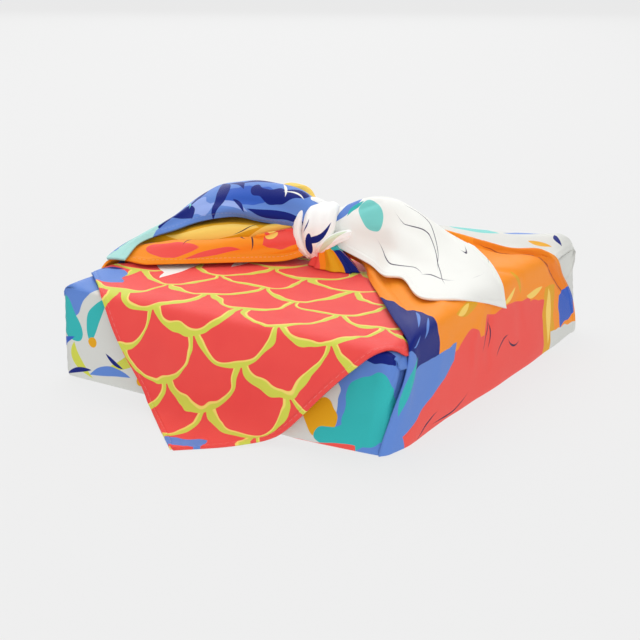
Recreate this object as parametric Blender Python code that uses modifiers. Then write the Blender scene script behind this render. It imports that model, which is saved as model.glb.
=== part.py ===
"""A furoshiki: one square cloth wrapped round a flat box and tied on top.

The cloth is a single closed solid. Its front corner lies over the box first, its back corner
comes over that and hangs down the front as a flap, and its left and right corners rise as
wings to the knot, beyond which each ends in a free tail. The box itself is left out, so the
cloth is hollow. Metres, +Z up, +X right, -Y front; the origin is the middle of the underside.
"""

import math
from collections import namedtuple

import bmesh
import bpy
from mathutils import Matrix, Vector

NAME = "furoshiki"

MM = 0.001
WIDTH = 208.0  # of the wrapped box along X, in millimetres like every size below
DEPTH = 238.0  # along Y
HEIGHT = 55.0  # to the top of the cloth that lies over the box
SHEET = 1.6  # thickness of the cloth
PLEAT = 1.1  # how far a wing stands out from the wall that it is folded over
CORNER = 3.5  # radius of the upright corners
LAYER = 2.4  # from the middle of one layer on the top to the middle of the next

WALL_X = WIDTH / 2 - SHEET / 2  # middle of the side walls
WALL_Y = DEPTH / 2 - SHEET / 2  # middle of the front and back walls
WING_X = WALL_X + PLEAT  # middle of a wing where it lies on its side wall
TOP = HEIGHT - SHEET / 2  # middle of the upper layer on the top
UNDER = TOP - LAYER  # middle of the lower layer
FLOOR = SHEET / 2  # middle of cloth that lies on the floor
LEVELLED = 0.56  # what comes out lower than this is laid flat on the floor

# The walls, from the floor up. The cloth is drawn in at the bottom and at the rim, and each
# side swells a little between its corners.
Level = namedtuple("Level", "height drawn_in swell")
WALL_LEVELS = (
    Level(FLOOR, 1.6, 0.0),
    Level(3.0, 0.5, 0.3),
    Level(14.0, 0.0, 0.8),
    Level(32.0, 0.1, 0.8),
    Level(46.0, 0.3, 0.3),
    Level(UNDER - 0.6, 1.7, 0.0),
)
SIDE_STEPS = 5
UNDER_COLUMNS = 4  # across the hidden layer
FLAP_COLUMNS = 8  # across the upper layer
CORNER_STEPS = 4

# Where a layer passes over the box: its place, and how far it reaches to the left and right.
Section = namedtuple("Section", "y z left right")

# The front corner over the top, from the front wall back.
FRONT_CORNER = (
    Section(-WALL_Y + 0.6, 41.0, -98.0, 98.0),
    Section(-WALL_Y - 0.1, 48.5, -98.5, 98.5),
    Section(-WALL_Y + 1.2, UNDER - 1.0, -101.0, 101.0),
    Section(-WALL_Y + 4.0, UNDER, -102.2, 102.2),
    Section(-106.0, UNDER, -102.6, 102.6),
    Section(-100.0, UNDER, -102.6, 97.0),
    Section(-80.0, UNDER, -102.6, 97.0),
    Section(-74.0, UNDER, -97.0, 97.0),
    Section(20.0, UNDER, -97.0, 97.0),
    Section(108.0, UNDER, -94.0, 94.0),
)

# The back corner, from the back wall over the top and down the front to its tip on the
# floor. Its hems run at 45 degrees to the tip, and over the top the wings limit its width.
FLAP_TIP_X = 8.4
FLAP_BLUNT = 1.0  # half width of the tip
# How far the flap's hems bow out of true, by the length of cloth from there to the tip.
FLAP_BOW = ((0, 0), (12, 1.5), (24, 3.5), (35, 6), (48, 4.5), (64, 2.5), (82, 0))
FLAP_WAVE = 0.5  # how far the hanging part waves
FLAP_WAVE_LENGTH = 107.0  # from one wave to the next
FLAP_HANGS_FROM = -120.0  # past this y the flap hangs
FLAP_LIES_BELOW = 6.0  # and below this height it lies on the floor
EDGE_DROP = 3.0  # how far it turns down over a side of the top
EDGE_TURN = 6.0  # over this width
BACK_CORNER = (
    Section(WALL_Y - 0.6, 39.0, -97.0, 97.0),
    Section(WALL_Y + 0.2, 48.5, -98.0, 98.0),
    Section(WALL_Y - 1.0, TOP - 1.4, -101.0, 101.0),
    Section(WALL_Y - 4.5, TOP, -103.4, 103.4),
    Section(104.0, TOP, -103.4, 103.4),
    Section(95.0, TOP, -103.4, 103.4),
    Section(84.0, TOP, -103.4, 103.4),
    Section(76.0, TOP, -96.5, 96.5),
    Section(30.0, TOP, -96.5, 96.5),
    Section(-72.0, TOP, -96.5, 96.5),
    Section(-80.0, TOP, -103.4, 96.5),
    Section(-98.0, TOP, -103.4, 97.0),
    Section(-104.0, TOP, -103.4, 104.6),
    Section(-112.5, TOP, -103.4, 105.4),
    Section(-119.6, TOP - 2.2, -103.4, 102.0),
    Section(-123.8, 46.5, -103.4, 102.0),
    Section(-128.5, 38.0, -103.4, 102.0),
    Section(-131.5, 28.0, -103.4, 102.0),
    Section(-132.8, 18.0, -103.4, 102.0),
    Section(-135.2, 9.6, -103.4, 102.0),
    Section(-140.5, 4.2, -103.4, 102.0),
    Section(-148.0, 2.0, -103.4, 102.0),
    Section(-157.0, FLOOR + 0.1, -103.4, 102.0),
    Section(-171.5, FLOOR, -103.4, 102.0),
)

# Each wing is a row of folds from its front hem to its back hem. A fold starts at the foot
# of the side wall, climbs it, passes the edge of the top, and runs to the knot. A row gives
# (y, z) where the fold passes each station, and the stations' own x says where they are: at the
# foot, low on the wall, high on it, at the edge of the top, and five on the way to the knot.
LEFT_STATIONS_X = (-WING_X + 0.8, -WING_X - 0.2, -WING_X, -WING_X, -84, -62, -40, -24, -12)
LEFT_WING = {
    "front hem": ((-112, 3), (-103, 22), (-91, 42), (-77, 55.4), (-68, 57.2), (-51, 57.2),
                  (-33, 57.2), (-19, 57.6), (-9, 62)),
    "belly": ((-104, 3), (-94, 22), (-82, 42), (-70.5, 56.6), (-64, 61), (-48.5, 61.8),
              (-32, 62.5), (-20.5, 63.5), (-11, 66)),
    "belly top": ((-96, 3), (-86, 22), (-75, 42), (-62, 57.6), (-51.5, 67), (-39, 67.6),
                  (-27, 71.6), (-15, 75.4), (-10, 73)),
    "crease": ((-88, 3), (-78, 22), (-67, 42), (-55, 57.8), (-44.5, 63), (-33, 63.2),
               (-21.5, 68.4), (-11.5, 73.6), (-9, 74)),
    "upper belly": ((-70, 3), (-64, 22), (-56, 42), (-47, 60.5), (-37.5, 69), (-28, 73),
                    (-18.5, 75.4), (-9.5, 77), (-8, 76)),
    "shoulder": ((-32, 3), (-31, 22), (-29, 42), (-26, 63.6), (-23, 72), (-17, 75.6),
                 (-11, 77), (-7, 78), (-5, 78)),
    "crest": ((14, 3), (13, 22), (12, 42), (10, 68), (7, 75.5), (5, 78),
              (3, 80), (2, 81), (0, 81)),
    "back": ((66, 3), (61, 22), (54, 42), (47, 65), (36, 68), (25, 70),
             (15, 73), (10, 74), (6, 76)),
    "back hem": ((113, 3), (104, 22), (93, 42), (83, 56.6), (63, 60), (45, 61),
                 (28, 62), (16, 63), (9, 66)),
}
RIGHT_STATIONS_X = (WING_X - 0.8, WING_X + 0.2, WING_X, WING_X, 84, 60, 38, 20, 1)
RIGHT_WING = {
    "front roll": ((-114.5, 3), (-109.5, 22), (-103, 42), (-99.5, 57), (-76, 58.6),
                   (-47, 59.2), (-22.5, 60.2), (-3, 62), (0, 64)),
    "belly": ((-84, 3), (-84, 22), (-84, 42), (-80, 57.4), (-56, 58.8),
              (-32, 61), (-10, 65), (2, 69), (1, 70)),
    "middle": ((-36, 3), (-36, 22), (-36, 42), (-36, 57.8), (-22, 61.5),
               (-8, 66), (3, 71), (6, 75), (2, 75)),
    "back belly": ((24, 3), (22, 22), (19, 42), (14, 58.4), (16, 64),
                   (17, 70), (13, 75), (9, 79), (4, 79)),
    "crease": ((105, 3), (101, 22), (82, 42), (71, 56.8), (51, 60.8),
               (37.5, 68), (22, 75.2), (13, 80), (6, 80.6)),
    "ridge": ((109, 3), (105.5, 22), (86.6, 42), (73.4, 58.6), (55.4, 64.2),
              (42, 72), (26, 79.4), (16, 84), (8, 84)),
    "fall": ((111.5, 3), (106.8, 22), (91, 41.5), (77, 57.4), (61.5, 60.6),
             (50, 66), (33, 72), (20, 77), (9, 79)),
    "back hem": ((114, 3), (109.8, 22), (95.4, 40.5), (80, 56), (67.5, 59.2),
                 (56, 61), (38, 62.5), (24, 64), (10, 68)),
}
# The right wing's front hem wraps the front right corner, where it folds under, so its
# places are whole points (x, y, z) at the same stations.
RIGHT_FRONT_HEM = (
    (101.4, -WALL_Y - PLEAT, 3), (104.6, -WALL_Y + 1.8, 22), (WING_X + 0.3, -109.4, 41), (WING_X, -106.4, 54),
    (84, -83, 57.2), (60, -53.5, 57.2), (38, -27, 57.4), (20, -4, 57.8), (1, 0, 62),
)

# Each tail is a row of folds from its front hem to its back hem, from the knot out (x, y, z).
LEFT_TAIL = {
    "front hem": ((-10, -8, 76), (-25, -12, 77), (-43, -15, 78), (-57, -19, 79.5), (-70, -26, 77.5),
                  (-84, -35, 73), (-95.5, -59, 65.5), (-95, -76, 58.5)),
    "lower roll": ((-10, -8, 80), (-25, -14, 82), (-43, -18, 83), (-57, -21, 84.5), (-71, -25, 82),
                   (-86, -31, 76.5), (-97, -58, 67.2), (-101.5, -79.5, 58)),
    "upper roll": ((-10, -5, 86), (-25, -9, 92), (-41, -10, 93), (-56, -11, 93.5), (-71, -13, 91),
                   (-84, -16, 86.4), (-95, -44, 72.4), (-106, -77, 56.5)),
    "crest": ((-11, -1, 88), (-25, 0, 95.5), (-40, 1, 97.2), (-55, 3, 97.2), (-70, 5, 94.6),
              (-84, 3, 90.6), (-94.5, -24, 76), (-107.5, -72, 57.5)),
    "back": ((-10, 5, 85), (-24, 10, 90), (-38, 13, 90), (-52, 15, 89), (-66, 18, 86),
             (-79, 19, 82), (-91, 0, 75), (-107.5, -60, 60.5)),
    "back hem": ((-9, 9, 82), (-22, 16, 83.5), (-35, 20, 83), (-48, 24, 81), (-60, 29, 78),
                 (-71, 32, 74.5), (-83, 26, 72.5), (-105, -38, 65.5)),
}
RIGHT_TAIL = {
    "front hem": ((-3, -8, 70), (16, -10, 65), (34, -18, 63), (52, -35, 63.8), (62, -34, 64),
                  (84, -54, 61.8), (101, -45, 61), (107.2, -22, 54), (108.2, 2, 45)),
    "lower": ((-3, -7, 74), (15, -6, 71), (32, -8, 70), (49, -19, 70.6), (64, -21, 68.6),
              (86, -36, 65), (100, -27, 63.5), (106.6, -12, 58), (107.8, 1, 50)),
    "middle": ((-2, -4, 79), (14, -1, 81), (30, 0, 82), (46, -4, 80.5), (63, -6, 76),
               (80, -13, 70.5), (94, -11, 66.5), (100.6, -4.6, 63.5), (105.4, 2.4, 58)),
    "upper": ((-2, 0, 84), (13, 6, 89), (28, 8, 92), (43, 8, 90.5), (58, 6, 84),
              (73, 3, 76.6), (83, 2, 72.8), (90, 5, 69.5), (95, 10, 66.5)),
    "crest": ((-2, 4, 86), (12, 12, 92.6), (24, 15, 94.4), (37, 15, 93), (52, 14, 86.5),
              (66, 13, 79.4), (73, 13, 76.4), (78, 15, 74.2), (82, 17, 72.4)),
    "back": ((-3, 8, 84), (11, 17, 89), (23, 22, 91), (36, 25, 87.4), (50, 26, 81),
             (61, 26, 75.6), (67, 27, 73), (71, 28, 71), (75, 28, 69.6)),
    "back hem": ((-4, 10, 80), (10, 21, 85.5), (21, 29, 85), (33, 33, 81.6), (46, 35, 77.6),
                 (55, 36, 73), (61, 36, 70.6), (65, 36, 69), (69, 36, 68)),
}

# The knot: lumps of wound cloth, each with its middle, its reach along, across and up, and
# how far its own up leans to the right.
Lump = namedtuple("Lump", "middle reach lean")
KNOT_LUMPS = {
    "front turn": Lump((-7.0, -6.0, 73.0), (11.0, 12.0, 16.5), 14),
    "low turn": Lump((5.0, -13.5, 73.5), (3.6, 3.4, 10.0), 48),
    "left band": Lump((-17.0, -4.0, 74.0), (8.0, 12.0, 18.5), -8),
    "top turn": Lump((-9.0, 3.0, 80.5), (15.0, 11.0, 8.5), 0),
    "back loop": Lump((-30.0, 11.0, 90.0), (10.5, 5.5, 7.0), 30),
    "core": Lump((-8.0, 2.0, 70.0), (17.0, 14.0, 15.0), 0),
}
LUMP_RINGS = 8
LUMP_SPOKES = 14

# The little fan of cloth that falls from the knot to the top.
FAN_PLEATS = 3
FAN_SPOKES = 24
FanSection = namedtuple("FanSection", "z x y half_x half_y pleat_depth")
FAN_SECTIONS = (
    FanSection(55.6, 6.2, -11.8, 15.4, 6.7, 0.14),
    FanSection(59.0, 5.4, -11.4, 13.0, 6.0, 0.16),
    FanSection(65.0, 3.2, -11.6, 9.0, 5.0, 0.14),
    FanSection(70.0, 1.0, -12.2, 5.0, 4.0, 0.06),
    FanSection(75.0, -0.5, -11.0, 3.0, 3.2, 0.0),
)

# How the soft wrap stands out of true: its left wall, its right wall along the foot as (y, out),
# and the foot of its front wall as (x, out) towards the right, where the corner is drawn in.
LEFT_SWELL = 3.0
LEFT_FROM, LEFT_TO = -86.0, -104.0  # over these places in x
LEFT_LIFT = 2.4  # of the edge of the top above it
LIFT_FROM, LIFT_TO = 40.0, 54.0  # over these heights
RIGHT_SWELL = (
    (-119, 0), (-105, 0.5), (-80, 0.6), (-60, 0.8), (-30, 1.8), (0, 3.5), (30, 3.9), (80, 4.3), (119, 3),
)
RIGHT_FROM, RIGHT_TO = 92.0, 104.0
FRONT_SWELL = ((18, 0), (40, 7.5), (52, 8), (66, 7.4), (82, 6.2), (101, 4.6))
FRONT_FROM_Y, FRONT_TO_Y = -104.0, -117.0  # over these places in y
FRONT_END_Y = -123.0  # the flap in front of this is left as it is
RIGHT_DRAW = 2.2
DRAW_FROM, DRAW_TO = 92.0, 101.0  # over these places in x
# The cloth stands up along the back edge of the top: (x, rise), over these places in y and z.
BACK_RISE = ((0, 0), (25, 1), (63, 2.8), (80, 4.2), (94, 6.6), (100, 4.6), (104, 0.4))
BACK_FROM_Y, BACK_TO_Y = 92.0, 112.0
BACK_FROM_Z = 40.0

CLOTH_COLOUR = (0.86, 0.30, 0.22, 1.0)
CLOTH_ROUGHNESS = 0.7


def eased(points, steps):
    """Return points on a smooth curve through the given ones, with steps between each two."""
    points = [Vector(p) for p in points]
    chords = [max((b - a).length, 1e-6) for a, b in zip(points, points[1:])]
    result = [points[0]]
    for k, chord in enumerate(chords):
        last = k + 1 == len(chords)
        before = points[k - 1] if k else points[0] * 2 - points[1]
        after = points[-1] * 2 - points[-2] if last else points[k + 2]
        chord_before = chords[k - 1] if k else chord
        chord_after = chord if last else chords[k + 1]
        leave = (points[k + 1] - before) * chord / (chord + chord_before)
        arrive = (after - points[k]) * chord / (chord + chord_after)
        for i in range(1, steps + 1):
            t = i / steps
            result.append(
                points[k] * (2 * t**3 - 3 * t**2 + 1)
                + leave * (t**3 - 2 * t**2 + t)
                + points[k + 1] * (3 * t**2 - 2 * t**3)
                + arrive * (t**3 - t**2)
            )
    return result


def between(table, place):
    """Read a value from a table of (place, value), straight between its rows and level past them."""
    for (start, low), (end, high) in zip(table, table[1:]):
        if place < end:
            return low + (high - low) * max(0.0, place - start) / (end - start)
    return table[-1][1]


def ramp(value, start, end):
    """0 at the start, 1 at the end, and a smooth run between them."""
    share = min(1.0, max(0.0, (value - start) / (end - start)))
    return share * share * (3 - 2 * share)


def swelled(p):
    """Let a point of the wrap stand out of true where soft cloth does."""
    low = 1 - ramp(p.z, 0, HEIGHT)
    left = ramp(p.x, LEFT_FROM, LEFT_TO)
    right = between(RIGHT_SWELL, p.y) * ramp(p.x, RIGHT_FROM, RIGHT_TO) * low
    foot = ramp(p.y, FRONT_FROM_Y, FRONT_TO_Y) * low**2 if p.y > FRONT_END_Y else 0.0
    rise = between(BACK_RISE, p.x) * ramp(p.y, BACK_FROM_Y, BACK_TO_Y) * ramp(p.z, BACK_FROM_Z, TOP)
    drawn = RIGHT_DRAW * foot * ramp(p.x, DRAW_FROM, DRAW_TO)
    lift = LEFT_LIFT * left * ramp(p.z, LIFT_FROM, LIFT_TO)
    forward = between(FRONT_SWELL, p.x) * foot
    return Vector((p.x + right - LEFT_SWELL * left - drawn, p.y - forward, p.z + rise + lift))


def lofted(folds, along, across):
    """Loft rows of points over a row of folds, with the steps to take along and across."""
    lines = [eased(fold, along) for fold in folds]
    return [eased(line, across) for line in zip(*lines)]


def linked(name, bm, collection):
    """Turn a bmesh into an object in a collection."""
    mesh = bpy.data.meshes.new(name)
    bm.to_mesh(mesh)
    bm.free()
    made = bpy.data.objects.new(name, mesh)
    collection.objects.link(made)
    return made


def skinned(name, rows, collection, closed=False, floor=False, caps=False):
    """Skin rows of millimetre points: closed joins each row's ends, floor fills the first."""
    bm = bmesh.new()
    made = [[bm.verts.new(p * MM) for p in row] for row in rows]
    for low, high in zip(made, made[1:]):
        for i in range(len(low) - (0 if closed else 1)):
            j = (i + 1) % len(low)
            bm.faces.new((low[i], low[j], high[j], high[i]))
    if floor or caps:
        bm.faces.new(made[0])
    if caps:
        bm.faces.new(made[-1])
    bmesh.ops.recalc_face_normals(bm, faces=bm.faces)
    return linked(name, bm, collection)


def thick(sheet):
    """Swell an open sheet, give it the cloth's thickness and level what lies on the floor."""
    for vertex in sheet.data.vertices:
        vertex.co = swelled(vertex.co / MM) * MM
    solid = sheet.modifiers.new("cloth", "SOLIDIFY")
    solid.thickness = SHEET * MM
    solid.offset = 0.0
    solid.use_even_offset = True
    graph = bpy.context.evaluated_depsgraph_get()
    mesh = bpy.data.meshes.new_from_object(sheet.evaluated_get(graph))
    sheet.modifiers.clear()
    sheet.data = mesh
    for vertex in mesh.vertices:
        if vertex.co.z < LEVELLED * MM:
            vertex.co.z = 0.0
    return sheet


def wall_ring(level):
    """One level of the walls: a rectangle with round corners whose sides swell a little."""
    half_x, half_y = WALL_X - level.drawn_in, WALL_Y - level.drawn_in
    corners = []
    for quarter, (sx, sy) in enumerate(((1, -1), (1, 1), (-1, 1), (-1, -1))):
        middle = Vector((sx * (half_x - CORNER), sy * (half_y - CORNER), level.height))
        angles = [math.radians(90 * (quarter - 1 + i / CORNER_STEPS)) for i in range(CORNER_STEPS + 1)]
        corners.append([middle + CORNER * Vector((math.cos(a), math.sin(a), 0)) for a in angles])
    outward = (Vector((1, 0, 0)), Vector((0, 1, 0)), Vector((-1, 0, 0)), Vector((0, -1, 0)))
    ring = []
    for quarter, corner in enumerate(corners):
        ring += corner
        start, end = corner[-1], corners[(quarter + 1) % 4][0]
        for i in range(1, SIDE_STEPS):
            t = i / SIDE_STEPS
            ring.append(start.lerp(end, t) + outward[quarter] * level.swell * 4 * t * (1 - t))
    return ring


def walls(collection):
    """The bottom and the four walls, as one tray that is open at the top."""
    rings = [wall_ring(level) for level in WALL_LEVELS]
    return thick(skinned("walls", rings, collection, closed=True, floor=True))


def front_corner(collection):
    """The layer that comes over the top first and lies hidden under the next one."""
    rows = []
    for section in FRONT_CORNER:
        left = Vector((section.left, section.y, section.z))
        right = Vector((section.right, section.y, section.z))
        rows.append([left.lerp(right, i / UNDER_COLUMNS) for i in range(UNDER_COLUMNS + 1)])
    return thick(skinned("front corner", rows, collection))


def lengths_to_tip():
    """How much cloth there is from each of the back corner's sections to its tip."""
    places = [Vector((0, section.y, section.z)) for section in BACK_CORNER]
    lengths = [0.0]
    for place, nearer in reversed(list(zip(places, places[1:]))):
        lengths.append(lengths[-1] + (place - nearer).length)
    return lengths[::-1]


def back_corner(collection):
    """The upper layer, from the back wall over the top and down the front to its tip."""
    rows = []
    for section, to_tip in zip(BACK_CORNER, lengths_to_tip()):
        reach = to_tip + FLAP_BLUNT + between(FLAP_BOW, to_tip)
        low, high = max(section.left, FLAP_TIP_X - reach), min(section.right, FLAP_TIP_X + reach)
        hangs = section.y < FLAP_HANGS_FROM and section.z > FLAP_LIES_BELOW
        row = []
        for i in range(FLAP_COLUMNS + 1):
            x = low + (high - low) * i / FLAP_COLUMNS
            wave = FLAP_WAVE * math.sin(2 * math.pi * x / FLAP_WAVE_LENGTH) if hangs else 0.0
            beyond = max(0.0, (abs(x) - (WALL_X - EDGE_TURN)) / EDGE_TURN)
            drop = EDGE_DROP * beyond**2 if section.z > TOP - 1 else 0.0
            row.append(Vector((x, section.y + wave, section.z - drop)))
        rows.append(row)
    return thick(skinned("back corner", rows, collection))


def left_wing(collection):
    """The left corner of the cloth, from the foot of its wall to the knot."""
    folds = [[(x, y, z) for x, (y, z) in zip(LEFT_STATIONS_X, row)] for row in LEFT_WING.values()]
    return thick(skinned("left wing", lofted(folds, 2, 2), collection))


def right_wing(collection):
    """The right corner of the cloth, which also wraps the front right corner of the box."""
    folds = [[(x, y, z) for x, (y, z) in zip(RIGHT_STATIONS_X, row)] for row in RIGHT_WING.values()]
    return thick(skinned("right wing", lofted([RIGHT_FRONT_HEM] + folds, 2, 2), collection))


def tail(name, folds, collection):
    """A free end of the cloth, from the knot to its tip."""
    return thick(skinned(name, lofted(list(folds.values()), 2, 2), collection))


def lump(name, form, collection):
    """One turn of the knot, an egg shape that leans to the right by so many degrees."""
    bm = bmesh.new()
    bmesh.ops.create_uvsphere(bm, u_segments=LUMP_SPOKES, v_segments=LUMP_RINGS, radius=1.0)
    turn = Matrix.Rotation(math.radians(form.lean), 4, "Y")
    place = Matrix.Translation(Vector(form.middle)) @ turn @ Matrix.Diagonal((*form.reach, 1.0))
    bmesh.ops.transform(bm, matrix=Matrix.Scale(MM, 4) @ place, verts=bm.verts)
    return linked(name, bm, collection)


def knot(collection):
    """The wound cloth where the two wings cross, as a few lumps."""
    for name, form in KNOT_LUMPS.items():
        lump(name, form, collection)


def fan(collection):
    """The small pleated fan that falls from the knot to the top."""
    rows = []
    for section in FAN_SECTIONS:
        row = []
        for i in range(FAN_SPOKES):
            angle = 2 * math.pi * i / FAN_SPOKES
            pleat = 1 + section.pleat_depth * math.cos(angle * 2 * FAN_PLEATS)
            x = section.x + section.half_x * pleat * math.cos(angle)
            y = section.y + section.half_y * pleat * math.sin(angle)
            row.append(Vector((x, y, section.z)))
        rows.append(row)
    return skinned("fan", rows, collection, closed=True, caps=True)


def cloth_material():
    material = bpy.data.materials.new("printed cloth")
    material.use_nodes = True
    shader = material.node_tree.nodes["Principled BSDF"]
    shader.inputs["Base Color"].default_value = CLOTH_COLOUR
    shader.inputs["Roughness"].default_value = CLOTH_ROUGHNESS
    shader.inputs["Metallic"].default_value = 0.0
    return material


def main():
    for thing in list(bpy.data.objects):
        bpy.data.objects.remove(thing)
    parts = bpy.data.collections.new("furoshiki wrap")
    panels = bpy.data.collections.new("panels")
    for collection in (parts, panels):
        bpy.context.scene.collection.children.link(collection)

    cloth = walls(parts)
    cloth.name = NAME
    cloth.data.materials.append(cloth_material())
    front_corner(panels)
    back_corner(panels)
    left_wing(panels)
    right_wing(panels)
    knot(panels)
    fan(panels)
    tail("left tail", LEFT_TAIL, panels)
    tail("right tail", RIGHT_TAIL, panels)
    for panel in panels.objects:
        panel.hide_render = True
        panel.display_type = "WIRE"
    join = cloth.modifiers.new("one cloth", "BOOLEAN")
    join.operation = "UNION"
    join.solver = "EXACT"
    join.operand_type = "COLLECTION"
    join.collection = panels
    cloth.data.shade_smooth()


main()
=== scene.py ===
"""The looks of a furoshiki: one printed square cloth wrapped round a flat box and tied on top.

Each stretch of the cloth is a thin sheet of its own on the folds of the solid: the front and
back corners that lie over the box, the two wings, the knot, its fan and the two tails. Folds
are tables of places in millimetres, +Z up, +X right, -Y front, and the finished meshes are in
metres. The print is drawn by shader nodes on the flat cloth's own millimetres.
"""

import math
from collections import namedtuple

import bpy
import numpy as np
from bpy.props import FloatProperty, FloatVectorProperty, PointerProperty
from bpy.types import Operator, Panel, PropertyGroup
from mathutils import Matrix, Vector, noise


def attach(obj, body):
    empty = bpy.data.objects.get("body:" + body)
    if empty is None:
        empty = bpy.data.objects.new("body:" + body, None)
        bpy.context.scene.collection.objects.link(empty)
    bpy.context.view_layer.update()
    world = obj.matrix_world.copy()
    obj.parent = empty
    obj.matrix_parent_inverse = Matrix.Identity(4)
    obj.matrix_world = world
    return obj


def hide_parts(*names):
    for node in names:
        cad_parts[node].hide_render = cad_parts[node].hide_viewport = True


bl_info = {
    "name": "Furoshiki wrap",
    "version": (1, 0, 0),
    "blender": (4, 5, 0),
    "location": "View3D > Sidebar > Furoshiki",
    "description": "A printed cloth wrapped round a flat box and knotted on top",
    "category": "Object",
}

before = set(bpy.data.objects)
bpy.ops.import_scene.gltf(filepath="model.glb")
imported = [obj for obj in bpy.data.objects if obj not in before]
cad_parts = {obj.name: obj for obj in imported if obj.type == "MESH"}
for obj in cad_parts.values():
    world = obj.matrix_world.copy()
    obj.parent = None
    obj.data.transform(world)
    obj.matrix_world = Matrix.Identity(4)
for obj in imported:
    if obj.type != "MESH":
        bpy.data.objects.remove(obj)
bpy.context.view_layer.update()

NODE = "furoshiki"
BODY = "root"

MM = 0.001
WIDTH = 208.0  # of the wrapped box along X, in millimetres like every size below
DEPTH = 238.0  # along Y
HEIGHT = 55.0  # to the top of the cloth that lies over the box
HALF = 0.35  # half the thickness of the cloth
HEM_HALF = 0.7  # half the thickness of a folded hem
PLEAT = 1.1  # how far a wing stands out from the wall that it is folded over
CORNER = 2.6  # radius of the upright corners
LAYER = 2.4  # from the middle of one layer on the top to the middle of the next

WALL_X = WIDTH / 2 - HALF
WALL_Y = DEPTH / 2 - HALF
WING_X = WALL_X + PLEAT
TOP = HEIGHT - HALF  # middle of the upper layer on the top
UNDER = TOP - LAYER  # middle of the lower layer
FLOOR_GAP = 0.05  # between the floor and the cloth that lies on it
FLOOR = HEM_HALF + FLOOR_GAP  # middle of that cloth


# ---------------------------------------------------------------- settings


def srgb(red, green, blue):
    """A colour as a maker would name it, 0 to 255, in the linear light that shaders use."""
    linear = []
    for value in (red, green, blue):
        share = value / 255
        linear.append(share / 12.92 if share <= 0.04045 else ((share + 0.055) / 1.055) ** 2.4)
    return tuple(linear)


def ink(name, description, *colour):
    """A colour setting, from its red, green and blue."""
    return FloatVectorProperty(
        name=name, description=description, default=srgb(*colour), size=3, subtype="COLOR", min=0.0, max=1.0
    )


def size_setting(name, description, default, least):
    """A length in metres, and the least that it may be."""
    return FloatProperty(name=name, description=description, default=default, unit="LENGTH", min=least)


def share_setting(name, description, default):
    """A share from 0 to 1."""
    return FloatProperty(
        name=name, description=description, default=default, subtype="FACTOR", min=0.0, max=1.0
    )


def power_setting(name, description, default):
    """A lamp's power in watts."""
    return FloatProperty(name=name, description=description, default=default, unit="POWER", min=0.0)


def angle_setting(name, description, degrees):
    """An angle, given in degrees."""
    return FloatProperty(
        name=name, description=description, default=math.radians(degrees), subtype="ANGLE"
    )


class FuroshikiInks(PropertyGroup):
    """The inks of the print."""

    coral: ink("Coral", "Ground of the top and the flap", 246, 86, 78)
    deep_coral: ink("Deep coral", "Shade inside the coral scales", 238, 70, 70)
    lime: ink("Lime", "Outlines of the scales", 212, 216, 82)
    straw: ink("Straw", "Pale edge of the lime outlines", 248, 224, 116)
    cornflower: ink("Cornflower", "Ground of the left tail and the front right corner", 98, 138, 214)
    cobalt: ink("Cobalt", "Brush marks on the cornflower ground", 52, 96, 196)
    navy: ink("Navy", "Large dark leaves", 4, 27, 122)
    pen: ink("Pen", "Thin drawn lines", 44, 22, 66)
    teal: ink("Teal", "Round washes of the walls", 50, 184, 184)
    aqua: ink("Aqua", "Pale washes of the tails", 122, 212, 206)
    orange: ink("Orange", "Ground of the wings", 254, 149, 30)
    tangerine: ink("Tangerine", "Rolled back edge of the right wing", 244, 132, 22)
    # Painted shadow: a dark line along the right wing's crease, under its rolled back edge.
    rust: ink("Painted crease shadow", "Deep line along that edge", 178, 78, 20)
    # Amber is a print ink, and on the left wing's recessed band under the tail it is painted shade.
    amber: ink("Amber", "Shaded bands of the wings", 232, 168, 20)
    yellow: ink("Yellow", "Light marks on the orange", 254, 214, 104)
    white: ink("White", "Unprinted cloth", 244, 244, 239)
    # Sky marks are brush marks along the left tail's top ridge, and also a painted highlight there.
    sky: ink("Sky", "Light brush marks on the left tail", 150, 174, 236)
    foam: ink("Foam", "Pale end of the left tail", 174, 226, 220)
    # Painted light: white made lighter than the cloth's own, for the knot, which the lamps leave in shade.
    bright: ink("Bright", "Unprinted cloth of the knot", 255, 255, 253)
    mint: ink("Mint", "Faint wash of the knot", 222, 234, 206)
    # Pale is white darkened as painted shade, for the walls, which stand in less light than the top.
    pale: ink("Pale", "Unprinted cloth of the walls", 218, 219, 214)


class FuroshikiCloth(PropertyGroup):
    """The cloth itself."""

    thread: size_setting("Thread pitch", "From one thread to the next", 0.00042, 0.0001)
    hem: size_setting("Hem", "Width of the folded hems", 0.0036, 0.001)
    stitch: size_setting("Stitch", "From one stitch of the hem to the next", 0.0026, 0.001)
    roughness: share_setting("Roughness", "How matt the cloth is", 0.52)
    sheen: share_setting("Sheen", "Soft light along the fibres", 0.03)


class FuroshikiStage(PropertyGroup):
    """The floor, the light and the camera."""

    floor_size: size_setting("Floor", "Width of the floor", 60.0, 1.0)
    floor_colour: ink("Floor colour", "The pale floor", 238, 238, 238)
    floor_glow: share_setting("Floor glow", "Share of the floor's tone that takes no shadow", 0.88)
    sky: FloatProperty(name="Sky", description="Strength of the light all round", default=0.56, min=0.0)
    key: power_setting("Key light", "Power of the large soft light above", 15.0)
    fill: power_setting("Fill light", "Power of the soft light at the front", 9.4)
    rim: power_setting("Rim light", "Power of the soft light behind", 10.0)
    azimuth: angle_setting("Azimuth", "Camera's turn round the wrap", 31.224)
    elevation: angle_setting("Elevation", "Camera's height angle", 18.055)
    roll: angle_setting("Roll", "Camera's roll", 0.493)
    distance: size_setting("Distance", "Camera's distance from its target", 0.80245, 0.01)
    lens: FloatProperty(name="Lens", description="Focal length in millimetres", default=75.67, min=1.0)


# ---------------------------------------------------------------- the folds, in millimetres

Section = namedtuple("Section", "y z left right bent")

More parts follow.
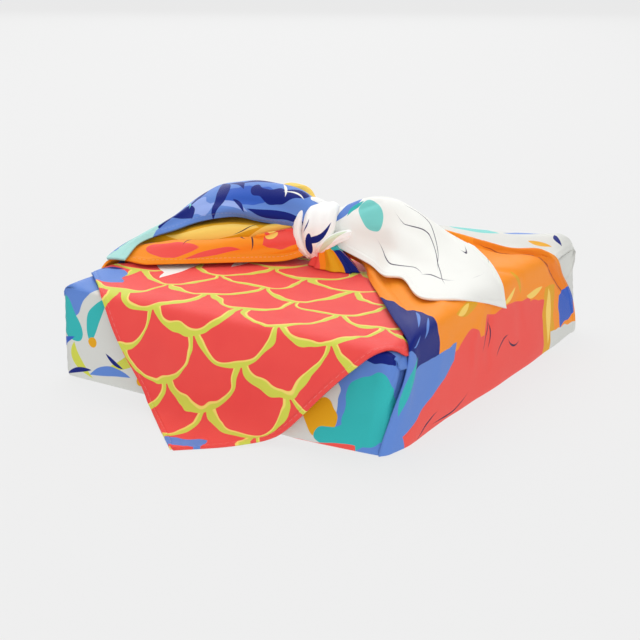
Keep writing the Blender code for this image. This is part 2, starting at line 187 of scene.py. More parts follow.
# The front corner, from under the box up the front wall and back over the top. bent is 1 where
# the cloth turns round the upright corners and 0 where it lies flat.
FRONT_CORNER = (
    Section(-WALL_Y + 9.0, 0.9, -112, 110, 1),
    Section(-WALL_Y + 0.9, 0.5, -112, 110, 1),
    Section(-WALL_Y + 0.0, 1.6, -112, 110, 1),
    Section(-WALL_Y - 0.1, 14.0, -117, 111, 1),
    Section(-WALL_Y + 0.0, 32.0, -126, 114, 1),
    Section(-WALL_Y + 0.3, 44.0, -133, 119, 1),
    Section(-WALL_Y + 0.6, 49.4, -136, 121, 1),
    Section(-WALL_Y + 1.4, UNDER - 0.7, -110, 108, 0.3),
    Section(-WALL_Y + 3.4, UNDER - 0.1, -103.6, 104.4, 0),
    Section(-WALL_Y + 6.0, UNDER, -102.6, 104.0, 0),
    Section(-104.0, UNDER, -102.6, 101.0, 0),
    Section(-98.0, UNDER, -102.6, 97.0, 0),
    Section(-80.0, UNDER, -102.6, 97.0, 0),
    Section(-72.0, UNDER, -97.0, 97.0, 0),
    Section(20.0, UNDER, -97.0, 97.0, 0),
    Section(100.0, UNDER, -94.0, 94.0, 0),
)

# The back corner, from under the box up the back wall, over the top and down the front.
BACK_CORNER = (
    Section(WALL_Y - 9.0, 0.9, -112, 112, 1),
    Section(WALL_Y - 0.9, 0.5, -112, 112, 1),
    Section(WALL_Y - 0.0, 1.6, -112, 112, 1),
    Section(WALL_Y + 0.1, 14.0, -117, 117, 1),
    Section(WALL_Y + 0.0, 32.0, -126, 126, 1),
    Section(WALL_Y - 0.3, 46.0, -135, 135, 1),
    Section(WALL_Y - 0.6, 51.2, -138, 138, 1),
    Section(WALL_Y - 1.4, TOP - 0.7, -110, 110, 0.3),
    Section(WALL_Y - 3.4, TOP - 0.1, -103.6, 103.6, 0),
    Section(WALL_Y - 7.0, TOP, -103.4, 103.4, 0),
    Section(104.0, TOP, -103.4, 103.4, 0),
    Section(95.0, TOP, -103.4, 103.4, 0),
    Section(84.0, TOP, -103.4, 103.4, 0),
    Section(76.0, TOP, -96.5, 96.5, 0),
    Section(30.0, TOP, -96.5, 96.5, 0),
    Section(-72.0, TOP, -96.5, 96.5, 0),
    Section(-80.0, TOP, -103.4, 96.5, 0),
    Section(-98.0, TOP, -103.4, 97.0, 0),
    Section(-104.0, TOP, -103.4, 104.6, 0),
    Section(-112.5, TOP, -103.4, 105.4, 0),
    Section(-119.6, TOP - 2.2, -103.4, 102.0, 0),
    Section(-123.8, 46.5, -103.4, 102.0, 0),
    Section(-128.5, 38.0, -103.4, 102.0, 0),
    Section(-131.5, 28.0, -103.4, 102.0, 0),
    Section(-132.8, 18.0, -103.4, 102.0, 0),
    Section(-135.2, 9.6, -103.4, 102.0, 0),
    Section(-140.5, 4.2, -103.4, 102.0, 0),
    Section(-148.0, 2.0, -103.4, 102.0, 0),
    Section(-157.0, FLOOR + 0.1, -103.4, 102.0, 0),
    Section(-171.5, FLOOR, -103.4, 102.0, 0),
)
FLAP_TIP_X = 8.4
FLAP_BLUNT = 1.0  # half width of the tip
# How far the flap's hems bow out of true, by the length of cloth from there to the tip.
FLAP_BOW = ((0, 0), (12, 1.5), (24, 3.5), (35, 6), (48, 4.5), (64, 2.5), (82, 0))
EDGE_DROP = 3.0  # how far a layer turns down over a side of the top
EDGE_TURN = 6.0  # over this width
OVERHANG = 1.8  # the furthest that the cloth on the top stands out past a side wall
WALL_BULGE = 0.4  # the furthest that the cloth of a wall stands out past it

# The middle of the cloth, under the box and behind the walls: (height, how far it stands in from
# the outermost cloth), and how much smaller than the first level the middle of the floor is.
BASE_LEVELS = (
    (0.6, 60), (0.6, 6.0), (1.0, 4.0), (3.0, 3.6), (14.0, 3.4), (32.0, 3.4), (46.0, 3.6), (UNDER - 0.6, 4.4),
)
BASE_MIDDLE = 0.02

# Each wing is a row of folds from its front hem to its back hem. A fold starts under the foot
# of the side wall, climbs it, passes the edge of the top, and runs to the knot. A row gives
# (y, z) where the fold passes each station, and STATIONS_X says where the stations are.
LEFT_STATIONS_X = (-WING_X + 4, -WING_X - 0.1, -WING_X - 0.2, -WING_X, -WING_X, -84, -62, -40, -24, -12)
LEFT_WING = {
    "front hem": ((-110, 0.5), (-112, 1.2), (-103, 22), (-91, 42), (-77, 55.4), (-68, 57.2), (-51, 57.2),
                  (-33, 57.2), (-19, 57.6), (-9, 62)),
    "belly": ((-102, 0.5), (-104, 1.2), (-94, 22), (-82, 42), (-70.5, 56.6), (-64, 61), (-48.5, 61.8),
              (-32, 62.5), (-20.5, 63.5), (-11, 66)),
    "belly top": ((-94, 0.5), (-96, 1.2), (-86, 22), (-75, 42), (-62, 57.6), (-51.5, 67), (-39, 67.6),
                  (-27, 71.6), (-15, 75.4), (-10, 73)),
    "crease": ((-86, 0.5), (-88, 1.2), (-78, 22), (-67, 42), (-55, 57.8), (-44.5, 63), (-33, 63.2),
               (-21.5, 68.4), (-11.5, 73.6), (-9, 74)),
    "upper belly": ((-69, 0.5), (-70, 1.2), (-64, 22), (-56, 42), (-47, 60.5), (-37.5, 69), (-28, 73),
                    (-18.5, 75.4), (-9.5, 77), (-8, 76)),
    "shoulder": ((-32, 0.5), (-32, 1.2), (-31, 22), (-29, 42), (-26, 63.6), (-23, 72), (-17, 75.6),
                 (-11, 77), (-7, 78), (-5, 78)),
    "crest": ((14, 0.5), (14, 1.2), (13, 22), (12, 42), (10, 68), (7, 75.5), (5, 78),
              (3, 80), (2, 81), (0, 81)),
    "back": ((65, 0.5), (66, 1.2), (61, 22), (54, 42), (47, 65), (36, 68), (25, 70),
             (15, 73), (10, 74), (6, 76)),
    "back hem": ((111, 0.5), (113, 1.2), (104, 22), (93, 42), (83, 56.6), (63, 60), (45, 61),
                 (28, 62), (16, 63), (9, 66)),
}
RIGHT_STATIONS_X = (WING_X - 4, WING_X + 0.1, WING_X + 0.2, WING_X, WING_X, 84, 60, 38, 20, 1)
RIGHT_WING = {
    "front roll": ((-113, 0.5), (-114.5, 1.2), (-109.5, 22), (-103, 42), (-99.5, 57),
                   (-76, 58.6), (-47, 59.2), (-22.5, 60.2), (-3, 62), (0, 64)),
    "belly": ((-84, 0.5), (-84, 1.2), (-84, 22), (-84, 42), (-80, 57.4),
              (-56, 58.8), (-32, 61), (-10, 65), (2, 69), (1, 70)),
    "middle": ((-36, 0.5), (-36, 1.2), (-36, 22), (-36, 42), (-36, 57.8),
               (-22, 61.5), (-8, 66), (3, 71), (6, 75), (2, 75)),
    "back belly": ((24, 0.5), (24, 1.2), (22, 22), (19, 42), (14, 58.4),
                   (16, 64), (17, 70), (13, 75), (9, 79), (4, 79)),
    "under crease": ((101, 0.5), (101.5, 1.2), (97, 22), (78.5, 42), (67.5, 57.8),
                     (47.5, 62), (34, 68.8), (19, 75.2), (11, 80), (5, 80.6)),
    "crease": ((105, 0.5), (105.5, 1.2), (101, 22), (82, 42), (71, 56.8),
               (51, 60.8), (37.5, 68), (22, 75.2), (13, 80), (6, 80.6)),
    "ridge": ((109, 0.5), (109, 1.2), (105.5, 22), (86.6, 42), (73.4, 58.6),
              (55.4, 64.2), (42, 72), (26, 79.4), (16, 84), (8, 84)),
    "fall": ((111, 0.5), (111.5, 1.2), (106.8, 22), (91, 41.5), (77, 57.4),
             (61.5, 60.6), (50, 66), (33, 72), (20, 77), (9, 79)),
    "back hem": ((112, 0.5), (114, 1.2), (109.8, 22), (95.4, 40.5), (80, 56),
                 (67.5, 59.2), (56, 61), (38, 62.5), (24, 64), (10, 68)),
}
# The right wing's front edge is folded under along the front right corner, so its places are
# whole points.
RIGHT_FRONT_FOLD = (
    (101, -WALL_Y + 1.0, 0.5), (101.6, -WALL_Y - PLEAT, 1.2), (104.4, -WALL_Y + 1.0, 22),
    (WING_X, -108.6, 41), (WING_X - 0.2, -105.8, 54), (84, -83, 57.2), (60, -53.5, 57.2), (38, -27, 57.4),
    (20, -4, 57.8), (1, 0, 62),
)

# Each tail is a row of folds from its front hem to its back hem, from the knot out (x, y, z).
LEFT_TAIL = {
    "front hem": ((-10, -8, 76), (-25, -12, 77), (-43, -15, 78), (-57, -19, 79.5), (-70, -26, 77.5),
                  (-84, -35, 73), (-95.5, -59, 65.5), (-95, -76, 58.5)),
    "lower roll": ((-10, -8, 80), (-25, -14, 82), (-43, -18, 83), (-57, -21, 84.5), (-71, -25, 82),
                   (-86, -31, 76.5), (-97, -58, 67.2), (-101.5, -79.5, 58)),
    "upper roll": ((-10, -5, 86), (-25, -9, 92), (-41, -10, 93), (-56, -11, 93.5), (-71, -13, 91),
                   (-84, -16, 86.4), (-95, -44, 72.4), (-106, -77, 56.5)),
    "crest": ((-11, -1, 88), (-25, 0, 95.5), (-40, 1, 97.2), (-55, 3, 97.2), (-70, 5, 94.6),
              (-84, 3, 90.6), (-94.5, -24, 76), (-107.5, -72, 57.5)),
    "back": ((-10, 5, 85), (-24, 10, 90), (-38, 13, 90), (-52, 15, 89), (-66, 18, 86),
             (-79, 19, 82), (-91, 0, 75), (-107.5, -60, 60.5)),
    "back hem": ((-9, 9, 82), (-22, 16, 83.5), (-35, 20, 83), (-48, 24, 81), (-60, 29, 78),
                 (-71, 32, 74.5), (-83, 26, 72.5), (-105, -38, 65.5)),
}
RIGHT_TAIL = {
    "front hem": ((-3, -8, 70), (16, -10, 65), (34, -18, 63), (52, -35, 63.8), (62, -34, 64),
                  (84, -54, 61.8), (101, -45, 61), (107.2, -22, 54), (108.2, 2, 45)),
    "lower": ((-3, -7, 74), (15, -6, 71), (32, -8, 70), (49, -19, 70.6), (64, -21, 68.6),
              (86, -36, 65), (100, -27, 63.5), (106.6, -12, 58), (107.8, 1, 50)),
    "middle": ((-2, -4, 79), (14, -1, 81), (30, 0, 82), (46, -4, 80.5), (63, -6, 76),
               (80, -13, 70.5), (94, -11, 66.5), (100.6, -4.6, 63.5), (105.4, 2.4, 58)),
    "upper": ((-2, 0, 84), (13, 6, 89), (28, 8, 92), (43, 8, 90.5), (58, 6, 84),
              (73, 3, 76.6), (83, 2, 72.8), (90, 5, 69.5), (95, 10, 66.5)),
    "crest": ((-2, 4, 86), (12, 12, 92.6), (24, 15, 94.4), (37, 15, 93), (52, 14, 86.5),
              (66, 13, 79.4), (73, 13, 76.4), (78, 15, 74.2), (82, 17, 72.4)),
    "back": ((-3, 8, 84), (11, 17, 89), (23, 22, 91), (36, 25, 87.4), (50, 26, 81),
             (61, 26, 75.6), (67, 27, 73), (71, 28, 71), (75, 28, 69.6)),
    "back hem": ((-4, 10, 80), (10, 21, 85.5), (21, 29, 85), (33, 33, 81.6), (46, 35, 77.6),
                 (55, 36, 73), (61, 36, 70.6), (65, 36, 69), (69, 36, 68)),
}

TURN_SQUARE = 0.85  # below 1, a turn of the knot is fuller than an oval
TURN_PLEATS = 3  # on its outer face
TURN_PLEAT = 0.1  # their depth as a share of its own

# The turns of the knot. Each is a soft band along a path of (x, y, z, half width, half depth).
KNOT_MIDDLE = (-6.0, 1.0, 75.0)
KNOT_TURNS = {
    "knot_core": ((-7, 2, 57, 8, 7), (-7, 1, 63, 14, 11), (-7, 1, 72, 15, 12), (-7, 2, 80, 12, 9),
                  (-7, 3, 86, 4, 4)),
    "knot_turn_left": ((-14, 8, 86, 4, 2.5), (-18.5, 3, 88, 5, 3), (-20.5, -4, 84.5, 5.6, 3.2),
                       (-20.5, -8.5, 78, 5.8, 3.2), (-19.5, -10.5, 71.5, 5.6, 3.2),
                       (-16, -11.5, 65.5, 5, 3), (-10, -11, 60.5, 3.4, 2.4)),
    "knot_turn_front": ((-10, 9, 82, 7, 3.5), (-9, 3, 86, 9, 4), (-6.6, -5.5, 85, 10, 4.8),
                        (-4.5, -11.5, 79, 10, 5), (-5, -13.5, 72, 9, 4.6), (-6.5, -12.5, 65.4, 6.4, 4),
                        (-8, -10, 60, 4, 3)),
    "knot_turn_low": ((-4, -14.5, 64.5, 2, 1.6), (0, -16, 68, 3.2, 2.2), (4.5, -14.8, 71.5, 3.6, 2.4),
                      (8.5, -10, 74, 3.4, 2.2), (12, -1.5, 75, 2.6, 2)),
    "knot_back_loop": ((-17, 7, 82, 4, 3), (-24.5, 9, 86.5, 6.4, 4.2), (-32, 10, 91, 7.6, 4.6),
                       (-39.5, 11, 92.6, 6, 3.6), (-45, 12, 90.5, 2.2, 1.8)),
}

# The little fan of cloth that falls from the knot to the top.
FAN_PLEATS = 9
FAN_ROUND = 60.0  # of printed cloth once round it
FanSection = namedtuple("FanSection", "z x y half_x half_y pleat")
FAN_SECTIONS = (
    FanSection(55.6, 6.2, -11.8, 16.0, 7.0, 0.10),
    FanSection(59.0, 5.4, -11.4, 13.4, 6.2, 0.12),
    FanSection(65.0, 3.2, -11.6, 9.0, 5.0, 0.12),
    FanSection(70.0, 1.0, -12.2, 5.0, 4.0, 0.08),
    FanSection(75.0, -0.5, -11.0, 3.0, 3.2, 0.0),
)

# How the soft wrap stands out of true: its left wall and the edge of the top above it.
LEFT_SWELL = 3.0
LEFT_FROM, LEFT_TO = -86.0, -104.0  # over these places in x
LEFT_LIFT = 2.4
LIFT_FROM, LIFT_TO = 40.0, 54.0  # over these heights
# The foot of the right wall, as (y, out).
RIGHT_SWELL = (
    (-119, 0), (-105, 0.5), (-80, 0.6), (-60, 0.8), (-30, 1.8), (0, 3.5), (30, 3.9), (80, 4.3), (119, 3),
)
RIGHT_FROM, RIGHT_TO = 92.0, 104.0  # over these places in x
# The foot of the front wall, as (x, out), towards the right corner, which is drawn in.
FRONT_SWELL = ((18, 0), (40, 7.5), (52, 8), (66, 7.4), (82, 6.2), (101, 4.6))
FRONT_FROM, FRONT_TO = -104.0, -117.0  # over these places in y
FRONT_END = -123.0  # the flap in front of this y is left as it is
CORNER_DRAW = 2.2
DRAW_FROM, DRAW_TO = 92.0, 101.0  # over these places in x
# The back edge of the top, which stands up: (x, rise).
BACK_RISE = ((0, 0), (25, 1), (63, 2.8), (80, 4.2), (94, 6.6), (100, 4.6), (104, 0.4))
BACK_FROM, BACK_TO = 92.0, 112.0  # over these places in y
BACK_FROM_Z = 40.0

# How far each stretch of cloth wanders out of true: size of the waves, depth, start of the noise.
Wander = namedtuple("Wander", "size depth seed")
FRONT_WANDER = Wander(34, 0.45, 0)
BACK_WANDER = Wander(42, 0.5, 7)
LEFT_WING_WANDER = Wander(26, 0.6, 15)
RIGHT_WING_WANDER = Wander(26, 0.6, 16)
LEFT_TAIL_WANDER = Wander(24, 0.7, 15)
RIGHT_TAIL_WANDER = Wander(24, 0.7, 16)

# The soft pleats of a wing: how many, how deep, and the share of its length where they start.
WING_PLEATS = (6, 1.4, 0.62)

# Listed creases: how far each rises (or sinks, below zero), its half width, and its path.
Crease = namedtuple("Crease", "rise width path")
LEFT_WING_CREASES = (
    Crease(-1.4, 2.6, ((-98, -52, 62), (-86, -45, 63), (-62, -33, 63), (-40, -21, 68), (-26, -13, 73))),
    Crease(1.2, 5.0, ((-102, -66, 60), (-84, -56, 65), (-60, -42, 66), (-38, -28, 70))),
    Crease(-1.3, 2.4, ((-56, -46, 62), (-40, -33, 64), (-26, -21, 66), (-14, -11, 68))),
    Crease(-1.1, 2.2, ((-44, -31, 70), (-30, -19, 72), (-18, -12, 73))),
    Crease(0.8, 3.0, ((-84, -34, 72), (-62, -24, 75), (-40, -15, 77))),
    Crease(-0.9, 3.0, ((-104, 20, 40), (-104, 6, 60), (-84, 2, 75), (-50, 0, 80))),
    Crease(0.9, 4.0, ((-104, 60, 30), (-104, 42, 60), (-70, 32, 67), (-40, 20, 72))),
)
RIGHT_WING_CREASES = (
    Crease(-2.0, 1.5, ((64, 38, 68), (76, 47, 65), (87, 56, 63), (97, 62, 61), (104, 64, 59),
                       (106, 68, 55), (105.6, 78, 47), (105.6, 90, 36), (106.6, 102, 24), (107, 108, 15))),
    Crease(1.4, 2.6, ((70, 50, 67), (84, 60, 63), (95, 66, 61.4), (103, 69, 59.6), (106.6, 76, 54),
                      (106, 88, 43), (106.6, 99, 32), (107.4, 107, 22))),
    Crease(1.4, 4.5, ((104.6, -104, 54), (105, -103, 42), (105, -108, 26), (103, -114, 10))),
    Crease(1.2, 4.0, ((104, 16, 54), (92, 8, 58), (78, -2, 61), (60, -6, 63))),
    Crease(-1.3, 2.6, ((106, 37, 48), (103.6, 24, 59), (96, 14, 61), (84, 6, 63))),
    Crease(-1.0, 3.0, ((104, -10, 54), (92, -16, 57), (76, -20, 60))),
    Crease(-1.4, 2.6, ((98, -90, 57), (82, -66, 58), (62, -44, 60), (40, -22, 62))),
    Crease(0.9, 3.0, ((103, -60, 58), (92, -48, 60), (80, -38, 62))),
    Crease(0.8, 3.0, ((105, -20, 50), (105, -30, 34), (105, -34, 14))),
    Crease(-0.9, 3.0, ((105, -8, 50), (105, -14, 36), (105, -15, 13))),
    Crease(-0.7, 4.0, ((105, 22, 50), (105, 28, 34), (105, 30, 14))),
    Crease(0.6, 5.0, ((105, -62, 50), (105, -72, 32), (105, -84, 12))),
)
FRONT_CREASES = (
    Crease(-2.2, 3.6, ((104, -104, 52), (103.8, -107, 44), (103.6, -111, 34), (102.6, -117, 24),
                       (100, -119, 12), (99, -119, 4))),
    Crease(1.0, 4.0, ((100, -118, 50), (97, -119, 38), (93, -119, 24))),
    Crease(-0.8, 3.0, ((80, -119, 49), (88, -119, 44), (96, -119, 38), (101.5, -117, 33))),
    Crease(0.8, 4.0, ((70, -119, 40), (82, -119, 34), (92, -119, 26))),
    Crease(-0.6, 3.0, ((66, -119, 24), (80, -119, 20), (94, -119, 18))),
)
FLAP_CREASES = (
    Crease(0.8, 7.0, ((-60, -60, 54), (-10, -66, 54), (40, -52, 54), (70, -30, 54))),
    Crease(-0.7, 6.0, ((-30, -78, 54), (10, -92, 54), (44, -112, 53))),
    Crease(0.7, 7.0, ((-40, -124, 44), (-18, -130, 30), (0, -134, 14))),
    Crease(-1.0, 4.0, ((60, -92, 55), (78, -104, 55), (98, -112, 54))),
    Crease(0.9, 5.0, ((72, -86, 55), (88, -98, 55), (102, -106, 54))),
    Crease(-0.7, 7.0, ((20, -124, 44), (26, -130, 30), (28, -134, 14))),
)
RIGHT_TAIL_CREASES = (
    Crease(-1.2, 4.0, ((6, -6, 78), (24, -8, 76), (46, -16, 74), (66, -24, 70))),
    Crease(0.9, 5.0, ((20, 0, 84), (44, -6, 82), (68, -14, 75), (90, -18, 67))),
    Crease(-1.0, 2.6, ((10, 4, 86), (18, 7, 90), (26, 9, 93))),
)
LEFT_TAIL_CREASES = (
    Crease(-1.2, 3.5, ((-14, -7, 84), (-34, -14, 88), (-60, -18, 88), (-84, -22, 82))),
    Crease(1.0, 5.0, ((-20, -4, 91), (-50, -6, 94), (-80, -8, 88))),
)


# ---------------------------------------------------------------- surfaces


def eased(points, steps):
    """Return a smooth run through rows of points, with steps between each two rows."""
    points = np.asarray(points, float)
    spans = np.maximum(np.linalg.norm(np.diff(points, axis=0), axis=-1, keepdims=True), 1e-6)
    spans = np.concatenate((spans[:1], spans, spans[-1:]))
    framed = np.concatenate((2 * points[:1] - points[1:2], points, 2 * points[-1:] - points[-2:-1]))
    run = [points[0]]
    for k in range(len(points) - 1):
        before, start, end, after = framed[k : k + 4]
        leave = (end - before) * spans[k + 1] / (spans[k + 1] + spans[k])
        arrive = (after - start) * spans[k + 1] / (spans[k + 1] + spans[k + 2])
        for i in range(1, steps + 1):
            t = i / steps
            run.append(
                start * (2 * t**3 - 3 * t**2 + 1)
                + leave * (t**3 - 2 * t**2 + t)
                + end * (3 * t**2 - 2 * t**3)
                + arrive * (t**3 - t**2)
            )
    return np.array(run)


def turned_grid(grid):
    """The same points with the rows as columns."""
    return np.swapaxes(grid, 0, 1)


def lofted(folds, along, across):
    """A grid of points, a row for each place along the folds and a column for each place across."""
    rows = eased(turned_grid(np.array(folds, float)), along)
    return turned_grid(eased(turned_grid(rows), across))


def run_lengths(grid, axis):
    """How far each point is along the cloth from the first one on that axis."""
    steps = np.linalg.norm(np.diff(grid[..., :3], axis=axis), axis=-1)
    start = np.zeros_like(np.take(steps, [0], axis=axis))
    return np.concatenate((start, np.cumsum(steps, axis=axis)), axis=axis)


def with_places(grid):
    """Add the flat cloth's own place to each point: (along the folds, across them)."""
    return np.dstack((grid, run_lengths(grid, 0), run_lengths(grid, 1)))


def facing(grid):
    """Each point's unit normal."""
    normal = np.cross(np.gradient(grid[..., :3], axis=0), np.gradient(grid[..., :3], axis=1))
    return normal / np.maximum(np.linalg.norm(normal, axis=-1, keepdims=True), 1e-9)


def outward(grid):
    """1 where a grid's normals point away from the box at its middle, and -1 where they don't."""
    rows, columns = grid.shape[:2]
    probe = facing(grid)[rows // 2, columns // 2]
    return 1 if probe[2] > 0 else -1


def creased(grid, creases, side):
    """Raise and sink the cloth along its creases. side is -1 where the normals point inwards."""
    lift = np.zeros(grid.shape[:2])
    for crease in creases:
        line = eased(crease.path, steps=10)
        gap = np.linalg.norm(grid[:, :, None, :3] - line[None, None], axis=-1)
        along = gap.argmin(axis=-1) / (len(line) - 1)
        fade = np.sqrt(np.sin(np.pi * along).clip(0, 1))
        lift += crease.rise * fade * np.exp(-((gap.min(axis=-1) / crease.width) ** 2))
    result = grid.copy()
    result[..., :3] += side * facing(grid) * lift[..., None]
    return result


def uneven(grid, wander):
    """Let the cloth wander a little out of true, by a smooth noise."""
    normals = facing(grid)
    result = grid.copy()
    for place in np.ndindex(grid.shape[:2]):
        point = Vector(grid[place][:3]) / wander.size + Vector((wander.seed, 0, 0))
        result[place][:3] += normals[place] * wander.depth * noise.noise(point)
    return result


def gathered(grid, count, depth, start):
    """Run soft pleats along the folds, from nothing at the start to full at the end."""
    along = np.linspace(0, 1, grid.shape[0])
    growth = np.clip((along - start) / (1 - start), 0, 1) ** 1.5
    wave = np.cos(2 * np.pi * count * np.linspace(0, 1, grid.shape[1]))
    result = grid.copy()
    result[..., :3] += facing(grid) * (depth * growth[:, None] * wave[None])[..., None]
    return result


# A hem's columns of points lie at these shares of its width. A strip of cloth narrower than
# NARROW hems has narrower hems, and FAR hems away counts as no hem at all.
HEM_MARKS = (0.0, 0.12, 0.35, 0.9, 1.0, 1.12)
NARROW = 5
FAR = 9


def crowded(grid, hem, first, last):
    """Crowd columns into the hems at a grid's first and last column.

    Returns the new grid and each point's distance from the nearest hemmed edge."""
    marks = np.array(HEM_MARKS) * hem
    lengths = run_lengths(grid, 1)
    columns = grid.shape[1]
    rows, distances = [], []
    for row, length in zip(grid, lengths):
        whole = length[-1]
        fit = min(1.0, whole / (NARROW * hem))
        near = marks * fit if first else marks[:1]
        far = whole - (marks * fit if last else marks[:1])[::-1]
        between = np.linspace(near[-1], far[0], columns)[1:-1]
        places = np.concatenate((near, between, far))
        rows.append(np.stack([np.interp(places, length, row[:, k]) for k in range(row.shape[1])], axis=-1))
        from_first = places if first else np.full_like(places, FAR * hem)
        from_last = whole - places if last else np.full_like(places, FAR * hem)
        distances.append(np.minimum(from_first, from_last) / fit)
    return np.array(rows), np.array(distances)


def hemmed(grid, hem, sides):
    """Give a grid its hems on the sides named: first, last or end. Returns grid, distance."""
    grid, across = crowded(grid, hem, "first" in sides, "last" in sides)
    if "end" not in sides:
        return grid, across
    both = np.dstack((grid, across))
    both, along = crowded(turned_grid(both), hem, False, True)
    both, along = turned_grid(both), turned_grid(along)
    return both[..., :-1], np.minimum(both[..., -1], along)


def shape_of(name, points, faces, flat, hems, material):
    """Make a mesh object from millimetre points, with its print and hem places as UV maps."""
    mesh = bpy.data.meshes.new(name)
    mesh.from_pydata((np.asarray(points) * MM).tolist(), [], faces)
    loops = np.zeros(len(mesh.loops), dtype=np.int32)
    mesh.loops.foreach_get("vertex_index", loops)
    for title, places in (("print", flat), ("hem", hems)):
        layer = mesh.uv_layers.new(name=title)
        layer.data.foreach_set("uv", (np.asarray(places)[loops] * MM).ravel())
    mesh.polygons.foreach_set("use_smooth", [True] * len(mesh.polygons))
    mesh.materials.append(material)
    made = bpy.data.objects.new(name, mesh)
    bpy.context.scene.collection.objects.link(made)
    return made


def grid_faces(rows, columns, closed=False):
    """The four-sided faces between a grid's points, all the way round where it is closed."""
    faces = []
    for r in range(rows - 1):
        for c in range(columns if closed else columns - 1):
            d = (c + 1) % columns
            faces.append((r * columns + c, r * columns + d, (r + 1) * columns + d, (r + 1) * columns + c))
    return faces


def sheet_object(name, grid, distance, hem, material):
    """An open sheet with the cloth's thickness, and twice that in its hems."""
    rows, columns = grid.shape[:2]
    points = grid[..., :3].reshape(-1, 3)
    flat = grid[..., 3:5].reshape(-1, 2)
    along = np.maximum(grid[..., 3], grid[..., 4]) if distance is None else grid[..., 3]
    gap = np.full((rows, columns), FAR * hem) if distance is None else distance
    hems = np.stack((along.ravel(), gap.ravel()), axis=-1)
    made = shape_of(name, points, grid_faces(rows, columns), flat, hems, material)
    group = made.vertex_groups.new(name="thickness")
    doubled = gap.ravel() <= hem * 1.01  # a hair more, for the column on the hem's own line
    group.add([int(i) for i in np.flatnonzero(doubled)], 1.0, "REPLACE")
    group.add([int(i) for i in np.flatnonzero(~doubled)], HALF / HEM_HALF, "REPLACE")
    solid = made.modifiers.new("cloth", "SOLIDIFY")
    solid.thickness = 2 * HEM_HALF * MM
    solid.offset = 0.0
    solid.vertex_group = group.name
    solid.use_even_offset = False
    return made


def tube_object(name, grid, flat, hem, material):
    """A closed turn of cloth: rings of points, skinned, with a fan of faces at each end."""
    rows, columns = grid.shape[:2]
    points = grid.reshape(-1, 3).tolist()
    faces = grid_faces(rows, columns, closed=True)
    places = flat.reshape(-1, 2).tolist()
    for ring, order in ((0, -1), (rows - 1, 1)):
        points.append(np.mean(grid[ring], axis=0).tolist())
        places.append(np.mean(flat[ring], axis=0).tolist())
        for c in range(columns):
            pair = (ring * columns + c, ring * columns + (c + 1) % columns)
            faces.append((*pair[::order], len(points) - 1))
    hems = [(0.0, FAR * hem)] * len(points)
    return shape_of(name, points, faces, places, hems, material)


def declared(piece):
    """Attach a piece to the body that it rides with."""
    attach(piece, BODY)
    return piece


def ramp(values, start, end):
    """0 before the start, 1 past the end, and a smooth run between them."""
    along = np.clip((values - start) / (end - start), 0, 1)
    return along * along * (3 - 2 * along)


def swelled(grid):
    """Let the wrap stand out of true where soft cloth does."""
    x, y, z = (grid[..., k].copy() for k in range(3))
    low = 1 - ramp(z, 0, HEIGHT)
    left = ramp(x, LEFT_FROM, LEFT_TO)
    lift = LEFT_LIFT * left * ramp(z, LIFT_FROM, LIFT_TO)
    right = np.interp(y, *zip(*RIGHT_SWELL)) * ramp(x, RIGHT_FROM, RIGHT_TO) * low
    foot = ramp(y, FRONT_FROM, FRONT_TO) * low**2 * (y > FRONT_END)
    drawn = CORNER_DRAW * foot * ramp(x, DRAW_FROM, DRAW_TO)
    rise = np.interp(x, *zip(*BACK_RISE)) * ramp(y, BACK_FROM, BACK_TO) * ramp(z, BACK_FROM_Z, TOP)
    result = grid.copy()
    result[..., 0] += right - LEFT_SWELL * left - drawn
    result[..., 1] -= np.interp(x, *zip(*FRONT_SWELL)) * foot
    result[..., 2] += rise + lift
    return result


# ---------------------------------------------------------------- the corners over the box


def corner_grid(sections, side, steps, columns, to_a_tip=False):
    """A corner of the cloth from under the box, up its wall at that side, and over the top."""
    y, z, left, right, bent = eased(sections, steps).T
    run = np.concatenate(([0.0], np.cumsum(np.hypot(np.diff(y), np.diff(z)))))
    if to_a_tip:
        reach = run[-1] - run + FLAP_BLUNT
        reach = reach + np.interp(reach, *zip(*FLAP_BOW))
        left = np.maximum(left, FLAP_TIP_X - reach)
        right = np.minimum(right, FLAP_TIP_X + reach)
    across = left[:, None] + (right - left)[:, None] * np.linspace(0, 1, columns + 1)[None]

    # On the top it lies flat and turns down a little over the sides.
    beyond = np.clip((np.abs(across) - (WALL_X - EDGE_TURN)) / EDGE_TURN, 0, None)
    on_top = (z > UNDER - EDGE_DROP)[:, None] & (np.abs(y) <= WALL_Y + 1)[:, None]
    drop = np.where(on_top, EDGE_DROP * beyond**2, 0.0)
    within = np.clip(across, -WALL_X - OVERHANG, WALL_X + OVERHANG)
    flat = np.dstack(np.broadcast_arrays(within, y[:, None], z[:, None] - drop))

    # On a wall the cloth goes round the upright corners and on along the side walls.
    inset = np.maximum(WALL_Y - np.abs(y), -WALL_BULGE)[:, None]
    half = WALL_X - inset
    past = np.abs(across) - (half - CORNER)
    bend = np.clip(past / CORNER, 0, math.pi / 2)
    straight = np.maximum(past - CORNER * math.pi / 2, 0)
    x = np.where(past > 0, np.sign(across) * (half - CORNER + CORNER * np.sin(bend)), across)
    back = np.where(past > 0, CORNER * (1 - np.cos(bend)) + straight, 0.0)
    round_it = np.dstack(np.broadcast_arrays(x, y[:, None] - side * back, z[:, None]))
    mix = bent[:, None, None]
    grid = round_it * mix + flat * (1 - mix)
    return np.dstack((grid, across, np.broadcast_to(run[:, None], across.shape)))


def base_grid():
    """The cloth under the box and a little way up its walls, from the middle out."""
    rings = [wall_ring(height, inset) for height, inset in BASE_LEVELS]
    middle = [Vector((p.x * BASE_MIDDLE, p.y * BASE_MIDDLE, p.z)) for p in rings[0]]
    return eased(np.array([middle] + rings), steps=3)


